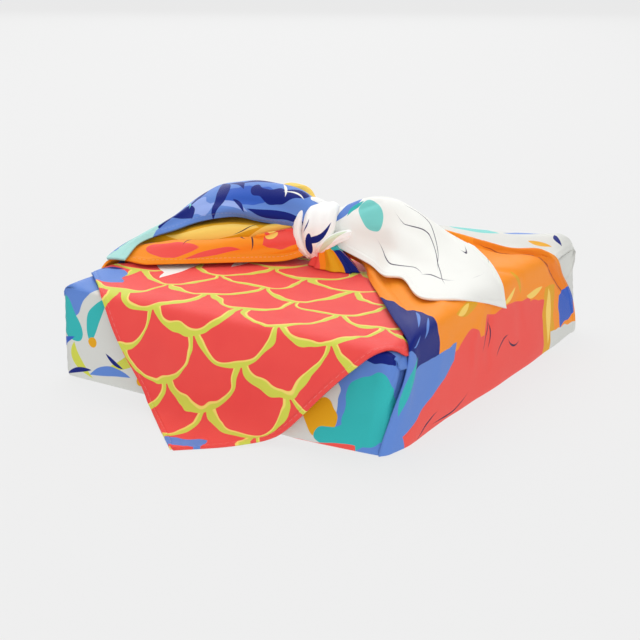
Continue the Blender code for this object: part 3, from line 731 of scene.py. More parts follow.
def wall_ring(height, inset, steps=36, corner_steps=8):
    """One level of the walls: a rectangle with round corners."""
    half_x, half_y = WALL_X - inset, WALL_Y - inset
    corners = []
    for quarter, (sx, sy) in enumerate(((1, -1), (1, 1), (-1, 1), (-1, -1))):
        middle = Vector((sx * (half_x - CORNER), sy * (half_y - CORNER), height))
        angles = [math.radians(90 * (quarter - 1 + i / corner_steps)) for i in range(corner_steps + 1)]
        corners.append([middle + CORNER * Vector((math.cos(a), math.sin(a), 0)) for a in angles])
    ring = []
    for quarter, corner in enumerate(corners):
        ring += corner
        start, end = corner[-1], corners[(quarter + 1) % 4][0]
        ring += [start.lerp(end, i / steps) for i in range(1, steps)]
    return ring + ring[:1]


# ---------------------------------------------------------------- the knot


def turn_grid(path, spokes=40, steps=8):
    """Rings round a path, flat on the side that faces the knot's middle, with soft pleats."""
    run = eased(path, steps)
    middle, half_width, half_depth = run[:, :3], run[:, 3:4], run[:, 4:5]
    ahead = np.gradient(middle, axis=0)
    ahead /= np.linalg.norm(ahead, axis=1, keepdims=True)
    away = middle - np.array(KNOT_MIDDLE)
    away -= ahead * np.sum(away * ahead, axis=1, keepdims=True)
    away /= np.maximum(np.linalg.norm(away, axis=1, keepdims=True), 1e-6)
    across = np.cross(ahead, away)
    spread = 2 * math.pi * np.arange(spokes) / spokes
    rings = []
    for spoke in spread:
        wide, deep = math.cos(spoke), math.sin(spoke)
        wide = math.copysign(abs(wide) ** TURN_SQUARE, wide)
        pleat = 1 + TURN_PLEAT * math.cos(TURN_PLEATS * math.pi * wide) if deep > 0 else 1.0
        rings.append(middle + across * half_width * wide + away * half_depth * deep * pleat)
    length = run_lengths(middle, 0)[:, None]
    half_turn = np.arccos(np.cos(spread)) / math.pi  # 0 at one edge of the band, 1 at the other
    flat = np.dstack(np.broadcast_arrays(length, 2 * (2 * half_turn[None] - 1) * half_width))
    return turned_grid(np.array(rings)), flat


def fan_grid(spokes=144, steps=6):
    """The pleated fan, from its foot up to the knot."""
    z, x, y, half_x, half_y, pleat = eased(FAN_SECTIONS, steps).T
    rings = []
    for i in range(spokes):
        spoke = 2 * math.pi * i / spokes
        swell = 1 + pleat * math.cos(FAN_PLEATS * spoke)
        reach_x, reach_y = half_x * swell * math.cos(spoke), half_y * swell * math.sin(spoke)
        rings.append(np.stack((x + reach_x, y + reach_y, z), axis=-1))
    turn = np.linspace(0, FAN_ROUND, spokes, endpoint=False)
    flat = np.dstack(np.broadcast_arrays(turn[None], z[:, None]))
    return turned_grid(np.array(rings)), flat


# ---------------------------------------------------------------- the print

# What is printed on a stretch of cloth: its kind, its ink, where it lies on the flat cloth, how
# far it is turned in degrees, its half length and half width, and its bow, which bends a leaf and
# makes the edge of a spot or a patch ragged.
Motif = namedtuple("Motif", "kind ink x y turn length width bow")

BASE_PRINT = (
    Motif("leaf", "cornflower", 60, 330, 20, 60, 12, 8),
    Motif("leaf", "lime", 300, 330, -30, 50, 8, 6),
)
FRONT_CORNER_PRINT = (
    Motif("patch", "cornflower", 112, 32, 4, 39, 60, 4),
    Motif("spot", "amber", 66, 22, 20, 9, 9, 3),
    Motif("spot", "teal", 92, 30, -14, 15, 20, 5),
    Motif("spot", "teal", 78, 13, 12, 13, 7, 3),
    Motif("patch", "coral", 66, 6, 3, 20, 3.4, 1),
    Motif("patch", "navy", 92, 60, -6, 13, 3.8, 2),
    Motif("patch", "cornflower", -104, 70, -24, 18, 20, 3),
    Motif("spot", "teal", -100, 42, 20, 6, 12, 2),
    Motif("leaf", "teal", -80, 44, 64, 17, 4.2, 5),
    Motif("leaf", "lime", -62, 30, 40, 18, 3.4, -4),
    Motif("leaf", "lime", -92, 20, 118, 12, 2.6, 3),
    Motif("leaf", "cornflower", -74, 14, 10, 15, 3, 3),
    Motif("leaf", "cobalt", -104, 26, 50, 10, 2.6, 2),
    Motif("leaf", "cobalt", -66, 46, 100, 9, 2.6, 2),
    Motif("leaf", "navy", -94, 12, 20, 8, 1.6, 1),
    Motif("leaf", "navy", -70, 24, 150, 7, 1.6, 1),
    Motif("spot", "amber", -86, 32, 8, 3.4, 3.4, 0.6),
    Motif("spot", "amber", -52, 16, 8, 2.8, 2.8, 0.6),
    Motif("leaf", "amber", 44, 30, 60, 9, 4, 2),
    Motif("leaf", "amber", 10, 56, 24, 12, 4, 2),
)
BACK_CORNER_PRINT = (
    # Painted shade: the back wall in pale, darkened white.
    Motif("patch", "pale", 0, 30, 0, 150, 62, 4),
    Motif("leaf", "white", -70, 230, 84, 30, 7, 3),
    Motif("leaf", "white", -84, 240, 40, 22, 5, -3),
    Motif("leaf", "white", -56, 196, 70, 26, 7, -3),
    Motif("patch", "cornflower", -98, 276, -30, 13, 11, 3),
    Motif("leaf", "navy", -98, 262, -34, 6, 2, 1),
    Motif("leaf", "aqua", 30, 60, 20, 26, 6, 4),
    Motif("leaf", "cornflower", 76, 60, -20, 22, 4, 3),
    Motif("leaf", "cornflower", -60, 40, 40, 26, 7, 5),
    Motif("leaf", "lime", -20, 34, -30, 26, 4, 4),
    # Painted shadow: a small dark mark in the fold at the back right corner.
    Motif("leaf", "navy", 98, 72, 40, 5, 2, 1),
    Motif("leaf", "amber", 88, 80, 10, 9, 2.4, 1),
    Motif("spot", "orange", 50, 24, 0, 18, 14, 2),
    Motif("patch", "cornflower", 0, 378, -14, 20, 4, 2),
)
LEFT_WING_PRINT = (
    Motif("patch", "cornflower", 30, 120, 0, 34, 200, 6),
    # Painted shade: the recessed band under the left tail, darkened to amber.
    Motif("patch", "amber", 120, 41, 3, 46, 16, 3),
    Motif("leaf", "yellow", 112, 32, -4, 30, 4, 3),
    Motif("leaf", "yellow", 150, 26, 8, 16, 3, 2),
    Motif("spot", "coral", 101, 11, 10, 14, 6, 2),
    Motif("leaf", "coral", 126, 6, 8, 16, 2.4, 2),
    Motif("patch", "coral", 166, 16, -10, 11, 7, 3),
    Motif("spot", "yellow", 160, 18, 12, 4, 3, 1),
    Motif("spot", "navy", 84, 20, 12, 7, 4, 1),
    Motif("leaf", "pen", 112, 18, 40, 7, 0.6, 3),
    Motif("leaf", "pen", 140, 20, 130, 7, 0.6, 2),
    Motif("leaf", "pen", 146, 14, 100, 7, 0.6, -2),
    Motif("leaf", "pen", 134, 34, 20, 9, 0.5, -2),
    Motif("leaf", "aqua", 60, 150, 20, 30, 10, 6),
    Motif("leaf", "navy", 40, 60, 60, 26, 6, 6),
)
RIGHT_WING_PRINT = (
    Motif("patch", "tangerine", 74.5, 171.7, 130, 78, 5.5, 1),
    # A painted shadow in the crease under the rolled edge.
    Motif("leaf", "rust", 70.5, 168.5, 130, 76, 1.1, -2.4),
    Motif("patch", "navy", 81, 4, -23, 52, 16, 1.6),
    Motif("leaf", "cornflower", 76, 15, 20, 9, 1.8, 1),
    Motif("leaf", "cornflower", 64, 20, 30, 7, 1.4, 1),
    Motif("leaf", "cornflower", 60, 8, 60, 5, 0.8, 1),
    Motif("patch", "coral", 0, 114, 0, 38, 66, 1.5),
    Motif("patch", "coral", 30, 124, 2, 17, 30, 1.5),
    Motif("spot", "coral", 24, 158, 0, 18, 17, 1),
    Motif("spot", "coral", 32, 76, 0, 12, 15, 1),
    Motif("patch", "cornflower", 16, 18, 2, 28, 40, 1.4),
    Motif("spot", "cornflower", 47, 2, 0, 9, 7, 0.5),
    Motif("leaf", "teal", 36, 7, 12, 15, 4, -2),
    Motif("patch", "coral", 7, 49, 65, 34, 20, 0.8),
    Motif("leaf", "amber", 60, 66, 86, 16, 4, 2),
    Motif("leaf", "yellow", 59, 60, 80, 8, 2.4, 1),
    Motif("leaf", "amber", 96, 70, 70, 34, 8, 5),
    Motif("leaf", "amber", 60, 133, -38, 11, 2.2, 2),
    Motif("leaf", "yellow", 54, 122, 64, 9, 2.4, 2),
    Motif("leaf", "yellow", 49, 160, 84, 12, 3, 2),
    Motif("patch", "amber", 26, 186, -3, 24, 9, 2),
    Motif("leaf", "yellow", 28, 184, -6, 20, 4, 2),
    Motif("patch", "cobalt", 27, 217, -10, 12, 12, 2),
    # Painted shade: pale, darkened white, at the wing's foot by the back corner.
    Motif("patch", "pale", -4, 218, 4, 16, 28, 2),
    Motif("leaf", "pen", 38, 96, 8, 10, 0.6, 1),
    Motif("leaf", "pen", 36, 100, -20, 9, 0.6, 2),
    Motif("leaf", "pen", 25, 122, 60, 9, 0.6, -3),
    Motif("leaf", "pen", 25, 138, 110, 9, 0.6, 3),
    Motif("leaf", "pen", 10, 60, 84, 22, 0.6, 3),
    Motif("leaf", "pen", 8, 34, 66, 12, 0.6, -2),
)
LEFT_TAIL_PRINT = (
    Motif("patch", "foam", 130, 8, 4, 30, 60, 2),
    Motif("spot", "cobalt", 44, 18, 0, 18, 7, 3),
    # Light marks along the top ridge: brush marks, and also a painted highlight.
    Motif("spot", "sky", 78, 14, 60, 14, 7, 4),
    Motif("leaf", "sky", 56, 8, 10, 16, 2.6, 2),
    Motif("leaf", "sky", 98, 22, 40, 12, 3, 2),
    Motif("leaf", "navy", 68, 18, 80, 20, 4.0, 5),
    Motif("leaf", "navy", 90, 12, 40, 17, 5.4, 4),
    Motif("leaf", "navy", 106, 18, 60, 16, 4.6, 3),
    Motif("leaf", "navy", 84, 28, 110, 12, 3, 3),
    Motif("leaf", "navy", 58, 26, 30, 10, 2, 2),
    Motif("spot", "navy", 24, 21, 10, 14, 6, 5),
    Motif("leaf", "navy", 22, 5, 6, 20, 2.8, 1),
    Motif("leaf", "navy", 42, 30, -14, 16, 3, 3),
    Motif("leaf", "navy", 48, 9, 40, 7, 1.4, 1),
    Motif("leaf", "white", 24, 24, 60, 7, 0.9, 2),
    Motif("leaf", "white", 16, 20, 20, 8, 0.8, 2),
    Motif("leaf", "aqua", 88, 22, 58, 9, 0.8, 2),
)
RIGHT_TAIL_PRINT = (
    Motif("spot", "aqua", 25, 30, 40, 9, 8, 1.5),
    Motif("leaf", "cornflower", 10, 25, 58, 15, 2.6, 1),
    Motif("leaf", "teal", 14, 27, 58, 9, 1.2, 1),
    Motif("leaf", "mint", 8, 40, 30, 9, 2.4, 1),
    Motif("leaf", "pen", 70, 30, -20, 34, 0.6, 6),
    Motif("leaf", "pen", 62, 42, -34, 30, 0.6, 5),
    Motif("leaf", "pen", 58, 16, -8, 28, 0.6, -4),
    Motif("leaf", "pen", 92, 18, 40, 12, 0.6, 3),
    Motif("leaf", "pen", 96, 44, -60, 18, 0.6, 3),
)
KNOT_CORE_PRINT = (Motif("leaf", "navy", 30, 0, 20, 16, 4, 3),)
KNOT_FRONT_PRINT = (
    Motif("leaf", "navy", 29, 2.5, 122, 12, 2.0, -1.5),
    Motif("spot", "navy", 36, -3, 20, 6, 3.2, 1),
    # Painted shade: a dark line in the crease on the left of the front turn.
    Motif("leaf", "navy", 27, -9.5, -25, 6, 0.7, 1),
)
KNOT_LOW_PRINT = (Motif("leaf", "mint", 12, 1, 10, 10, 2.4, 1),)
BACK_LOOP_PRINT = (Motif("leaf", "white", 8, 0, 20, 10, 2.0, 1),)
FAN_PRINT = (
    Motif("patch", "amber", 46.5, 64, 0, 4, 16, 1),
    Motif("patch", "coral", 35, 62, 0, 5, 16, 1),
    # The navy and teal patches are painted shade on the fan's shadowed right side, teal above and navy
    # below.
    Motif("patch", "navy", 56, 62, 0, 5.5, 16, 1),
    Motif("patch", "navy", 4, 62, 0, 6, 16, 1),
    Motif("patch", "teal", 55, 72, 0, 5, 5, 1),
    Motif("patch", "teal", 3, 72, 0, 5, 5, 1),
)


# What each piece is: its ground, its print, its hemmed sides, its flat length and width in metres,
# how it is held, and what it rests on.
Stretch = namedtuple("Stretch", "ground motifs hems flat held rests_on")
BOTH_SIDES = ("first", "last")
ALL_SIDES = ("first", "last", "end")
UNDER_WINGS = ["cloth_middle", "cloth_back_corner"]
WINGS = ["cloth_left_wing", "cloth_right_wing"]
STRETCHES = {
    # The middle and the front corner take the pale ground: white darkened as painted shade on the walls.
    "cloth_middle": Stretch("pale", BASE_PRINT, (), (0.318, 0.348), "stretched", ["floor"]),
    "cloth_front_corner": Stretch(
        "pale", FRONT_CORNER_PRINT, (), (0.226, 0.3), "draped", ["cloth_middle"]
    ),
    "cloth_back_corner": Stretch(
        "scales", BACK_CORNER_PRINT, BOTH_SIDES, (0.226, 0.386), "draped", ["cloth_front_corner"]
    ),
    "cloth_left_wing": Stretch(
        "orange", LEFT_WING_PRINT, BOTH_SIDES, (0.22, 0.13), "gathered", UNDER_WINGS
    ),
    "cloth_right_wing": Stretch(
        "orange", RIGHT_WING_PRINT, ("last",), (0.24, 0.13), "gathered", UNDER_WINGS
    ),
    "cloth_left_tail": Stretch(
        "cornflower", LEFT_TAIL_PRINT, ALL_SIDES, (0.11, 0.065), "draped", WINGS[:1]
    ),
    "cloth_right_tail": Stretch("white", RIGHT_TAIL_PRINT, ALL_SIDES, (0.12, 0.08), "draped", WINGS[1:]),
    # The knot's turns take a white made lighter, as painted light.
    "knot_core": Stretch("bright", KNOT_CORE_PRINT, (), (0.05, 0.03), "folded", WINGS),
    "knot_turn_left": Stretch("bright", (), (), (0.036, 0.018), "folded", WINGS),
    "knot_turn_front": Stretch("bright", KNOT_FRONT_PRINT, (), (0.045, 0.026), "folded", WINGS),
    "knot_turn_low": Stretch("bright", KNOT_LOW_PRINT, (), (0.024, 0.012), "folded", WINGS),
    "knot_back_loop": Stretch("yellow", BACK_LOOP_PRINT, (), (0.026, 0.016), "folded", WINGS),
    "cloth_fan": Stretch("orange", FAN_PRINT, (), (0.035, 0.022), "gathered", UNDER_WINGS[1:]),
}


class Shading:
    """Short words for the nodes of one material or node group."""

    def __init__(self, tree):
        self.tree = tree

    def node(self, kind, **settings):
        """A new node with those settings."""
        made = self.tree.nodes.new(kind)
        for name, value in settings.items():
            setattr(made, name, value)
        return made

    def feed(self, socket, value):
        """Link another node's output to a socket, or set the socket's own value."""
        if isinstance(value, bpy.types.NodeSocket):
            self.tree.links.new(value, socket)
        else:
            socket.default_value = value

    def math(self, operation, *values, clamp=False):
        """One sum with numbers."""
        made = self.node("ShaderNodeMath", operation=operation, use_clamp=clamp)
        for socket, value in zip(made.inputs, values):
            self.feed(socket, value)
        return made.outputs[0]

    def plus(self, first, second):
        return self.math("ADD", first, second)

    def minus(self, first, second):
        return self.math("SUBTRACT", first, second)

    def times(self, first, second):
        return self.math("MULTIPLY", first, second)

    def over(self, first, second, clamp=False):
        return self.math("DIVIDE", first, second, clamp=clamp)

    def far(self, x, y):
        """How far a place is from the origin."""
        squares = self.math("POWER", x, 2.0), self.math("POWER", y, 2.0)
        return self.math("SQRT", self.plus(*squares))

    def near(self, value, middle, half):
        """1 within that half width of the middle, and 0 elsewhere."""
        return self.math("LESS_THAN", self.math("ABSOLUTE", self.minus(value, middle)), half)

    def vector(self, operation, *values):
        """One sum with places."""
        made = self.node("ShaderNodeVectorMath", operation=operation)
        for socket, value in zip(made.inputs, values):
            self.feed(socket, value)
        return made.outputs[0]

    def strayed(self, place, shift, reach):
        """A place moved by a noise's colour, as far as the reach."""
        return self.vector("ADD", place, self.scaled(self.vector("SUBTRACT", shift, MIDDLE_GREY), reach))

    def scaled(self, place, factor):
        """A place times a number."""
        made = self.node("ShaderNodeVectorMath", operation="SCALE")
        self.feed(made.inputs[0], place)
        self.feed(made.inputs["Scale"], factor)
        return made.outputs[0]

    def parts(self, place):
        """A place's x and y."""
        made = self.node("ShaderNodeSeparateXYZ")
        self.feed(made.inputs[0], place)
        return made.outputs[0], made.outputs[1]

    def turned(self, place, angle):
        """A place turned round the origin."""
        made = self.node("ShaderNodeVectorRotate", rotation_type="Z_AXIS")
        self.feed(made.inputs["Vector"], place)
        self.feed(made.inputs["Angle"], angle)
        return made.outputs[0]

    def cloud(self, place, scale, detail=2.0):
        """A smooth noise from about 0 to 1, and its colour for shifting places."""
        made = self.node("ShaderNodeTexNoise")
        self.feed(made.inputs["Vector"], place)
        made.inputs["Scale"].default_value = scale
        made.inputs["Detail"].default_value = detail
        return made.outputs["Fac"], made.outputs["Color"]

    def mix(self, share, first, second):
        """One colour turned into another, by the Mix node's colour sockets."""
        made = self.node("ShaderNodeMix", data_type="RGBA")
        self.feed(made.inputs[0], share)
        self.feed(made.inputs[6], first)
        self.feed(made.inputs[7], second)
        return made.outputs[2]


# Lengths and heights of the print and the weave are in millimetres. Waves are how many of a noise's
# waves lie in a millimetre.
PRINT_EDGE = 0.22  # how soft the edge of an ink is
HAND_WAVES = 0.022  # of the whole print's wander
HAND_WANDER = 11.0  # how far the hand that drew the print strays
RAGGED_WAVES = 0.08  # of a wash's edge
RAGGED_DETAIL = 0.4
RAGGED_REACH = 3.0  # how far that edge strays, for a bow of 1
SCALE_RADIUS = 25.0
SCALE_ROW = 0.8  # from one row of scales to the next, as a share of the radius
SCALE_TURN = math.radians(22)
SCALE_WAVES = 0.035
SCALE_WANDER = 13.0  # how far the scales stray besides
LINE_THIN = 0.7
LINE_THICK = 7.5
LINE_WAVES = 0.06  # from thin to thick
LINE_RIM = 0.8  # of straw outside the lime
LINE_EDGE = 0.5  # how soft the edge of the lime is
WEAVE_HEIGHT = 0.03
DENT_WAVES = 0.07
DENT_DETAIL = 3.0
DENT_HEIGHT = 0.35
STITCH_PLACE = 0.78  # of the hem's width in from the edge
STITCH_LENGTH = 0.32  # as a share of the pitch
STITCH_HALF = 0.2  # half the thread's width
STITCH_HEIGHT = 0.06
GROOVE_PLACE = 1.02  # where the hem ends, as a share of its width
GROOVE_HALF = 0.2
GROOVE_DEPTH = 0.1
BUMP = 0.55  # how strongly these heights show
STITCH_PALER = 0.12
DENT_ROUGH = 0.08  # from the smoothest to the roughest cloth
SPECULAR = 0.18
SHEEN_ROUGH = 0.45
MIDDLE_GREY = (0.5, 0.5, 0.5)  # of a noise's colour, which shifts nothing


def leaf_mask(draw, x, y, length, width, bow):
    """A pointed oval that its bow bends, which is also a pen line where it is narrow."""
    along = draw.over(x, length)
    arch = draw.minus(1.0, draw.times(along, along))
    off = draw.math("ABSOLUTE", draw.minus(y, draw.times(bow, arch)))
    return draw.minus(draw.times(width, arch), off)


def ragged(draw, x, y, bow):
    """How far noise moves the edge of a spot or a patch."""
    place = draw.node("ShaderNodeCombineXYZ")
    draw.feed(place.inputs[0], x)
    draw.feed(place.inputs[1], y)
    cloud, _ = draw.cloud(place.outputs[0], RAGGED_WAVES, RAGGED_DETAIL)
    return draw.times(draw.minus(cloud, 0.5), draw.times(bow, RAGGED_REACH))


def spot_mask(draw, x, y, length, width, bow):
    """A round or oval wash."""
    reach = draw.far(draw.over(x, length), draw.over(y, width))
    inside = draw.times(draw.minus(1.0, reach), width)
    return draw.plus(inside, ragged(draw, x, y, bow))


def patch_mask(draw, x, y, length, width, bow):
    """A field of one ink with a wandering edge."""
    from_end = draw.minus(length, draw.math("ABSOLUTE", x))
    from_side = draw.minus(width, draw.math("ABSOLUTE", y))
    return draw.plus(draw.math("MINIMUM", from_end, from_side), ragged(draw, x, y, bow))


MASKS = {"leaf": leaf_mask, "spot": spot_mask, "patch": patch_mask}


def motif_group(kind):
    """The node group that tells where a motif is printed, made the first time it is asked for."""
    name = "printed " + kind
    if name in bpy.data.node_groups:
        return bpy.data.node_groups[name]
    tree = bpy.data.node_groups.new(name, "ShaderNodeTree")
    draw = Shading(tree)
    for title in ("Place", "Middle"):
        tree.interface.new_socket(title, in_out="INPUT", socket_type="NodeSocketVector")
    for title in ("Turn", "Length", "Width", "Bow"):
        tree.interface.new_socket(title, in_out="INPUT", socket_type="NodeSocketFloat")
    tree.interface.new_socket("Mask", in_out="OUTPUT", socket_type="NodeSocketFloat")
    given = draw.node("NodeGroupInput").outputs
    away = draw.vector("SUBTRACT", given["Place"], given["Middle"])
    x, y = draw.parts(draw.turned(away, draw.times(given["Turn"], -1.0)))
    inside = MASKS[kind](draw, x, y, given["Length"], given["Width"], given["Bow"])
    result = draw.node("NodeGroupOutput")
    draw.feed(result.inputs["Mask"], draw.over(inside, PRINT_EDGE, clamp=True))
    return tree


def scale_edge(draw, place):
    """How far inside its own scale a place is, in millimetres: rounded scales in staggered rows."""
    across, along = draw.parts(draw.turned(place, SCALE_TURN))
    row_height = SCALE_RADIUS * SCALE_ROW
    first = draw.math("CEIL", draw.over(draw.minus(along, SCALE_RADIUS), row_height))
    edge = None
    for step in (3, 2, 1, 0):
        row = draw.plus(first, float(step))
        odd = draw.math("FLOORED_MODULO", row, 2.0)
        dx = draw.minus(across, draw.times(odd, SCALE_RADIUS))
        dx = draw.math("WRAP", dx, SCALE_RADIUS, -SCALE_RADIUS)
        dy = draw.minus(along, draw.times(row, row_height))
        own = draw.minus(SCALE_RADIUS, draw.far(dx, dy))
        if edge is None:
            edge = own
            continue
        inside = draw.math("GREATER_THAN", own, 0.0)
        edge = draw.plus(draw.times(own, inside), draw.times(edge, draw.minus(1.0, inside)))
    return edge


def rgba(colour):
    """A setting's colour with the fourth value that a shader's socket takes."""
    return (*colour, 1.0)


def print_scales(draw, place, inks):
    """Coral scales outlined in lime with a straw rim."""
    cloud, shift = draw.cloud(place, SCALE_WAVES)
    ground = draw.mix(cloud, rgba(inks.coral), rgba(inks.deep_coral))
    edge = scale_edge(draw, draw.strayed(place, shift, SCALE_WANDER))
    vary, _ = draw.cloud(place, LINE_WAVES, 0.0)
    thicker = draw.times(draw.times(vary, vary), LINE_THICK)
    line = draw.plus(LINE_THIN, thicker)
    past = draw.minus(draw.plus(line, LINE_RIM), edge)
    rim = draw.over(past, PRINT_EDGE, clamp=True)
    heart = draw.over(draw.minus(line, edge), LINE_EDGE, clamp=True)
    return draw.mix(heart, draw.mix(rim, ground, rgba(inks.straw)), rgba(inks.lime))


def cloth_relief(draw, place, cloth):
    """The cloth's heights in millimetres, its dents, and where its stitches lie."""
    turns = 2 * math.pi * MM / cloth.thread
    u, v = draw.parts(place)
    threads = [draw.math("SINE", draw.times(along, turns)) for along in (u, v)]
    weave = draw.times(*threads)
    dents, _ = draw.cloud(place, DENT_WAVES, DENT_DETAIL)
    hem, stitch = cloth.hem / MM, cloth.stitch / MM
    hem_flat = draw.node("ShaderNodeUVMap", uv_map="hem").outputs[0]
    hem_u, hem_v = draw.parts(draw.scaled(hem_flat, 1 / MM))
    in_line = draw.near(hem_v, hem * STITCH_PLACE, STITCH_HALF)
    on_stitch = draw.math("LESS_THAN", draw.math("PINGPONG", hem_u, stitch / 2), stitch * STITCH_LENGTH)
    stitched = draw.times(in_line, on_stitch)
    groove = draw.near(hem_v, hem * GROOVE_PLACE, GROOVE_HALF)
    height = draw.times(weave, WEAVE_HEIGHT)
    height = draw.plus(height, draw.times(dents, DENT_HEIGHT))
    height = draw.plus(height, draw.times(stitched, STITCH_HEIGHT))
    height = draw.minus(height, draw.times(groove, GROOVE_DEPTH))
    return height, dents, stitched


def print_material(name, inks, cloth):
    """The printed cloth: its motifs, its weave, its soft sheen and the stitches of its hems."""
    ground, motifs = STRETCHES[name].ground, STRETCHES[name].motifs
    material = bpy.data.materials.new("print of " + name)
    material.use_nodes = True
    tree = material.node_tree
    draw = Shading(tree)
    flat = draw.node("ShaderNodeUVMap", uv_map="print").outputs[0]
    place = draw.scaled(flat, 1 / MM)
    _, shift = draw.cloud(place, HAND_WAVES)
    hand = draw.strayed(place, shift, HAND_WANDER)
    if ground == "scales":
        colour = print_scales(draw, hand, inks)
    else:
        colour = rgba(getattr(inks, ground))
    for motif in motifs:
        group = draw.node("ShaderNodeGroup", node_tree=motif_group(motif.kind))
        group.inputs["Middle"].default_value = (motif.x, motif.y, 0)
        group.inputs["Turn"].default_value = math.radians(motif.turn)
        group.inputs["Length"].default_value = motif.length
        group.inputs["Width"].default_value = motif.width
        group.inputs["Bow"].default_value = motif.bow
        draw.feed(group.inputs["Place"], hand)
        colour = draw.mix(group.outputs["Mask"], colour, rgba(getattr(inks, motif.ink)))

    height, dents, stitched = cloth_relief(draw, place, cloth)
    bump = draw.node("ShaderNodeBump")
    bump.inputs["Strength"].default_value = BUMP
    bump.inputs["Distance"].default_value = MM
    draw.feed(bump.inputs["Height"], height)
    paler = draw.mix(STITCH_PALER, colour, rgba(inks.white))
    rough = draw.plus(cloth.roughness - DENT_ROUGH / 2, draw.times(dents, DENT_ROUGH))
    shader = tree.nodes["Principled BSDF"]
    draw.feed(shader.inputs["Base Color"], draw.mix(stitched, colour, paler))
    draw.feed(shader.inputs["Roughness"], rough)
    draw.feed(shader.inputs["Normal"], bump.outputs[0])
    shader.inputs["Specular IOR Level"].default_value = SPECULAR
    shader.inputs["Sheen Weight"].default_value = cloth.sheen
    shader.inputs["Sheen Roughness"].default_value = SHEEN_ROUGH
    return material


# ---------------------------------------------------------------- the pieces


def settings(context):
    """The inks and the cloth as the user has set them."""
    scene = context.scene
    return scene.furoshiki_inks, scene.furoshiki_cloth


def laid_sheet(context, name, grid):
    """Make one stretch of the cloth from its grid, with its hems and its print."""
    inks, cloth = settings(context)
    hem = cloth.hem / MM
    distance = None
    if STRETCHES[name].hems:
        grid, distance = hemmed(grid, hem, STRETCHES[name].hems)
    piece = sheet_object(name, grid, distance, hem, print_material(name, inks, cloth))
    return declared(piece)


def wound_piece(context, name, grid, flat):
    """Make one turn of the knot, or its fan, from its rings, with its print."""
    inks, cloth = settings(context)
    piece = tube_object(name, grid, flat, cloth.hem / MM, print_material(name, inks, cloth))
    return declared(piece)


class FUROSHIKI_OT_base(Operator):
    """Lay the middle of the cloth under the box"""

    bl_idname = "furoshiki.base"
    bl_label = "Middle of the cloth"

    def execute(self, context):
        piece = laid_sheet(context, "cloth_middle", with_places(base_grid()))
        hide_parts(NODE)
        return {"FINISHED"}


class FUROSHIKI_OT_corners(Operator):
    """Bring the front corner over the box, and the back corner over that and down the front"""

    bl_idname = "furoshiki.corners"
    bl_label = "Front and back corners"

    def execute(self, context):
        grid = uneven(corner_grid(FRONT_CORNER, side=-1, steps=4, columns=90), FRONT_WANDER)
        grid = swelled(creased(grid, FRONT_CREASES, outward(grid)))
        laid_sheet(context, "cloth_front_corner", grid)
        grid = corner_grid(BACK_CORNER, side=1, steps=4, columns=96, to_a_tip=True)
        grid = uneven(grid, BACK_WANDER)
        grid = swelled(creased(grid, FLAP_CREASES, outward(grid)))
        laid_sheet(context, "cloth_back_corner", grid)
        return {"FINISHED"}


def stationed(stations_x, rows):
    """The folds of a wing as whole points, from its stations and its rows of (y, z)."""
    return [[(x, y, z) for x, (y, z) in zip(stations_x, row)] for row in rows.values()]


def free_grid(folds, creases, wander, pleats=None):
    """A wing or a tail from its folds, with its creases, its pleats and its wander."""
    grid = with_places(lofted(folds, along=12, across=14))
    grid = creased(grid, creases, outward(grid))
    if pleats:
        grid = gathered(grid, *pleats)
    return swelled(uneven(grid, wander))


class FUROSHIKI_OT_wings(Operator):
    """Raise the left and right corners of the cloth from their walls to the knot"""

    bl_idname = "furoshiki.wings"
    bl_label = "Wings"

    def execute(self, context):
        folds = stationed(LEFT_STATIONS_X, LEFT_WING)
        grid = free_grid(folds, LEFT_WING_CREASES, LEFT_WING_WANDER, WING_PLEATS)
        laid_sheet(context, "cloth_left_wing", grid)
        folds = [RIGHT_FRONT_FOLD] + stationed(RIGHT_STATIONS_X, RIGHT_WING)
        grid = free_grid(folds, RIGHT_WING_CREASES, RIGHT_WING_WANDER, WING_PLEATS)
        laid_sheet(context, "cloth_right_wing", grid)
        return {"FINISHED"}


class FUROSHIKI_OT_tails(Operator):
    """Lay the two free ends of the cloth out from the knot"""

    bl_idname = "furoshiki.tails"
    bl_label = "Tails"

    def execute(self, context):
        grid = free_grid(list(LEFT_TAIL.values()), LEFT_TAIL_CREASES, LEFT_TAIL_WANDER)
        laid_sheet(context, "cloth_left_tail", grid)
        grid = free_grid(list(RIGHT_TAIL.values()), RIGHT_TAIL_CREASES, RIGHT_TAIL_WANDER)
        laid_sheet(context, "cloth_right_tail", grid)
        return {"FINISHED"}


class FUROSHIKI_OT_knot(Operator):
    """Wind the turns of the knot"""

    bl_idname = "furoshiki.knot"
    bl_label = "Knot"

    def execute(self, context):
        for name, path in KNOT_TURNS.items():
            grid, flat = turn_grid(path)
            wound_piece(context, name, grid, flat)
        return {"FINISHED"}


class FUROSHIKI_OT_fan(Operator):
    """Spread the small pleated fan under the knot"""

    bl_idname = "furoshiki.fan"
    bl_label = "Fan"

    def execute(self, context):
        grid, flat = fan_grid()
        wound_piece(context, "cloth_fan", grid, flat)
        return {"FINISHED"}


# ---------------------------------------------------------------- the stage

# The sky runs from the floor's tone to its own between these heights of a unit sphere.
SKY_FROM, SKY_TO = 0.06, 0.22

# The soft lights: the setting that holds its power, its width, its place and what it looks at.
Lamp = namedtuple("Lamp", "name size place target")
LAMPS = (
    Lamp("key", 1.5, (-0.5, 0.5, 1.5), (0, 0, 0)),
    Lamp("fill", 1.2, (1.2, -1.3, 0.7), (0, 0, 0.03)),
    Lamp("rim", 1.6, (-1.0, 1.5, 0.9), (0, 0, 0.05)),
)

# The camera looks at a place left of the box's middle and below it, in heights of the box.
TARGET_LEFT = 0.159
TARGET_BELOW = 0.138
SENSOR = 36.0  # its width in millimetres
CLIP_START, CLIP_END = 0.01, 200.0


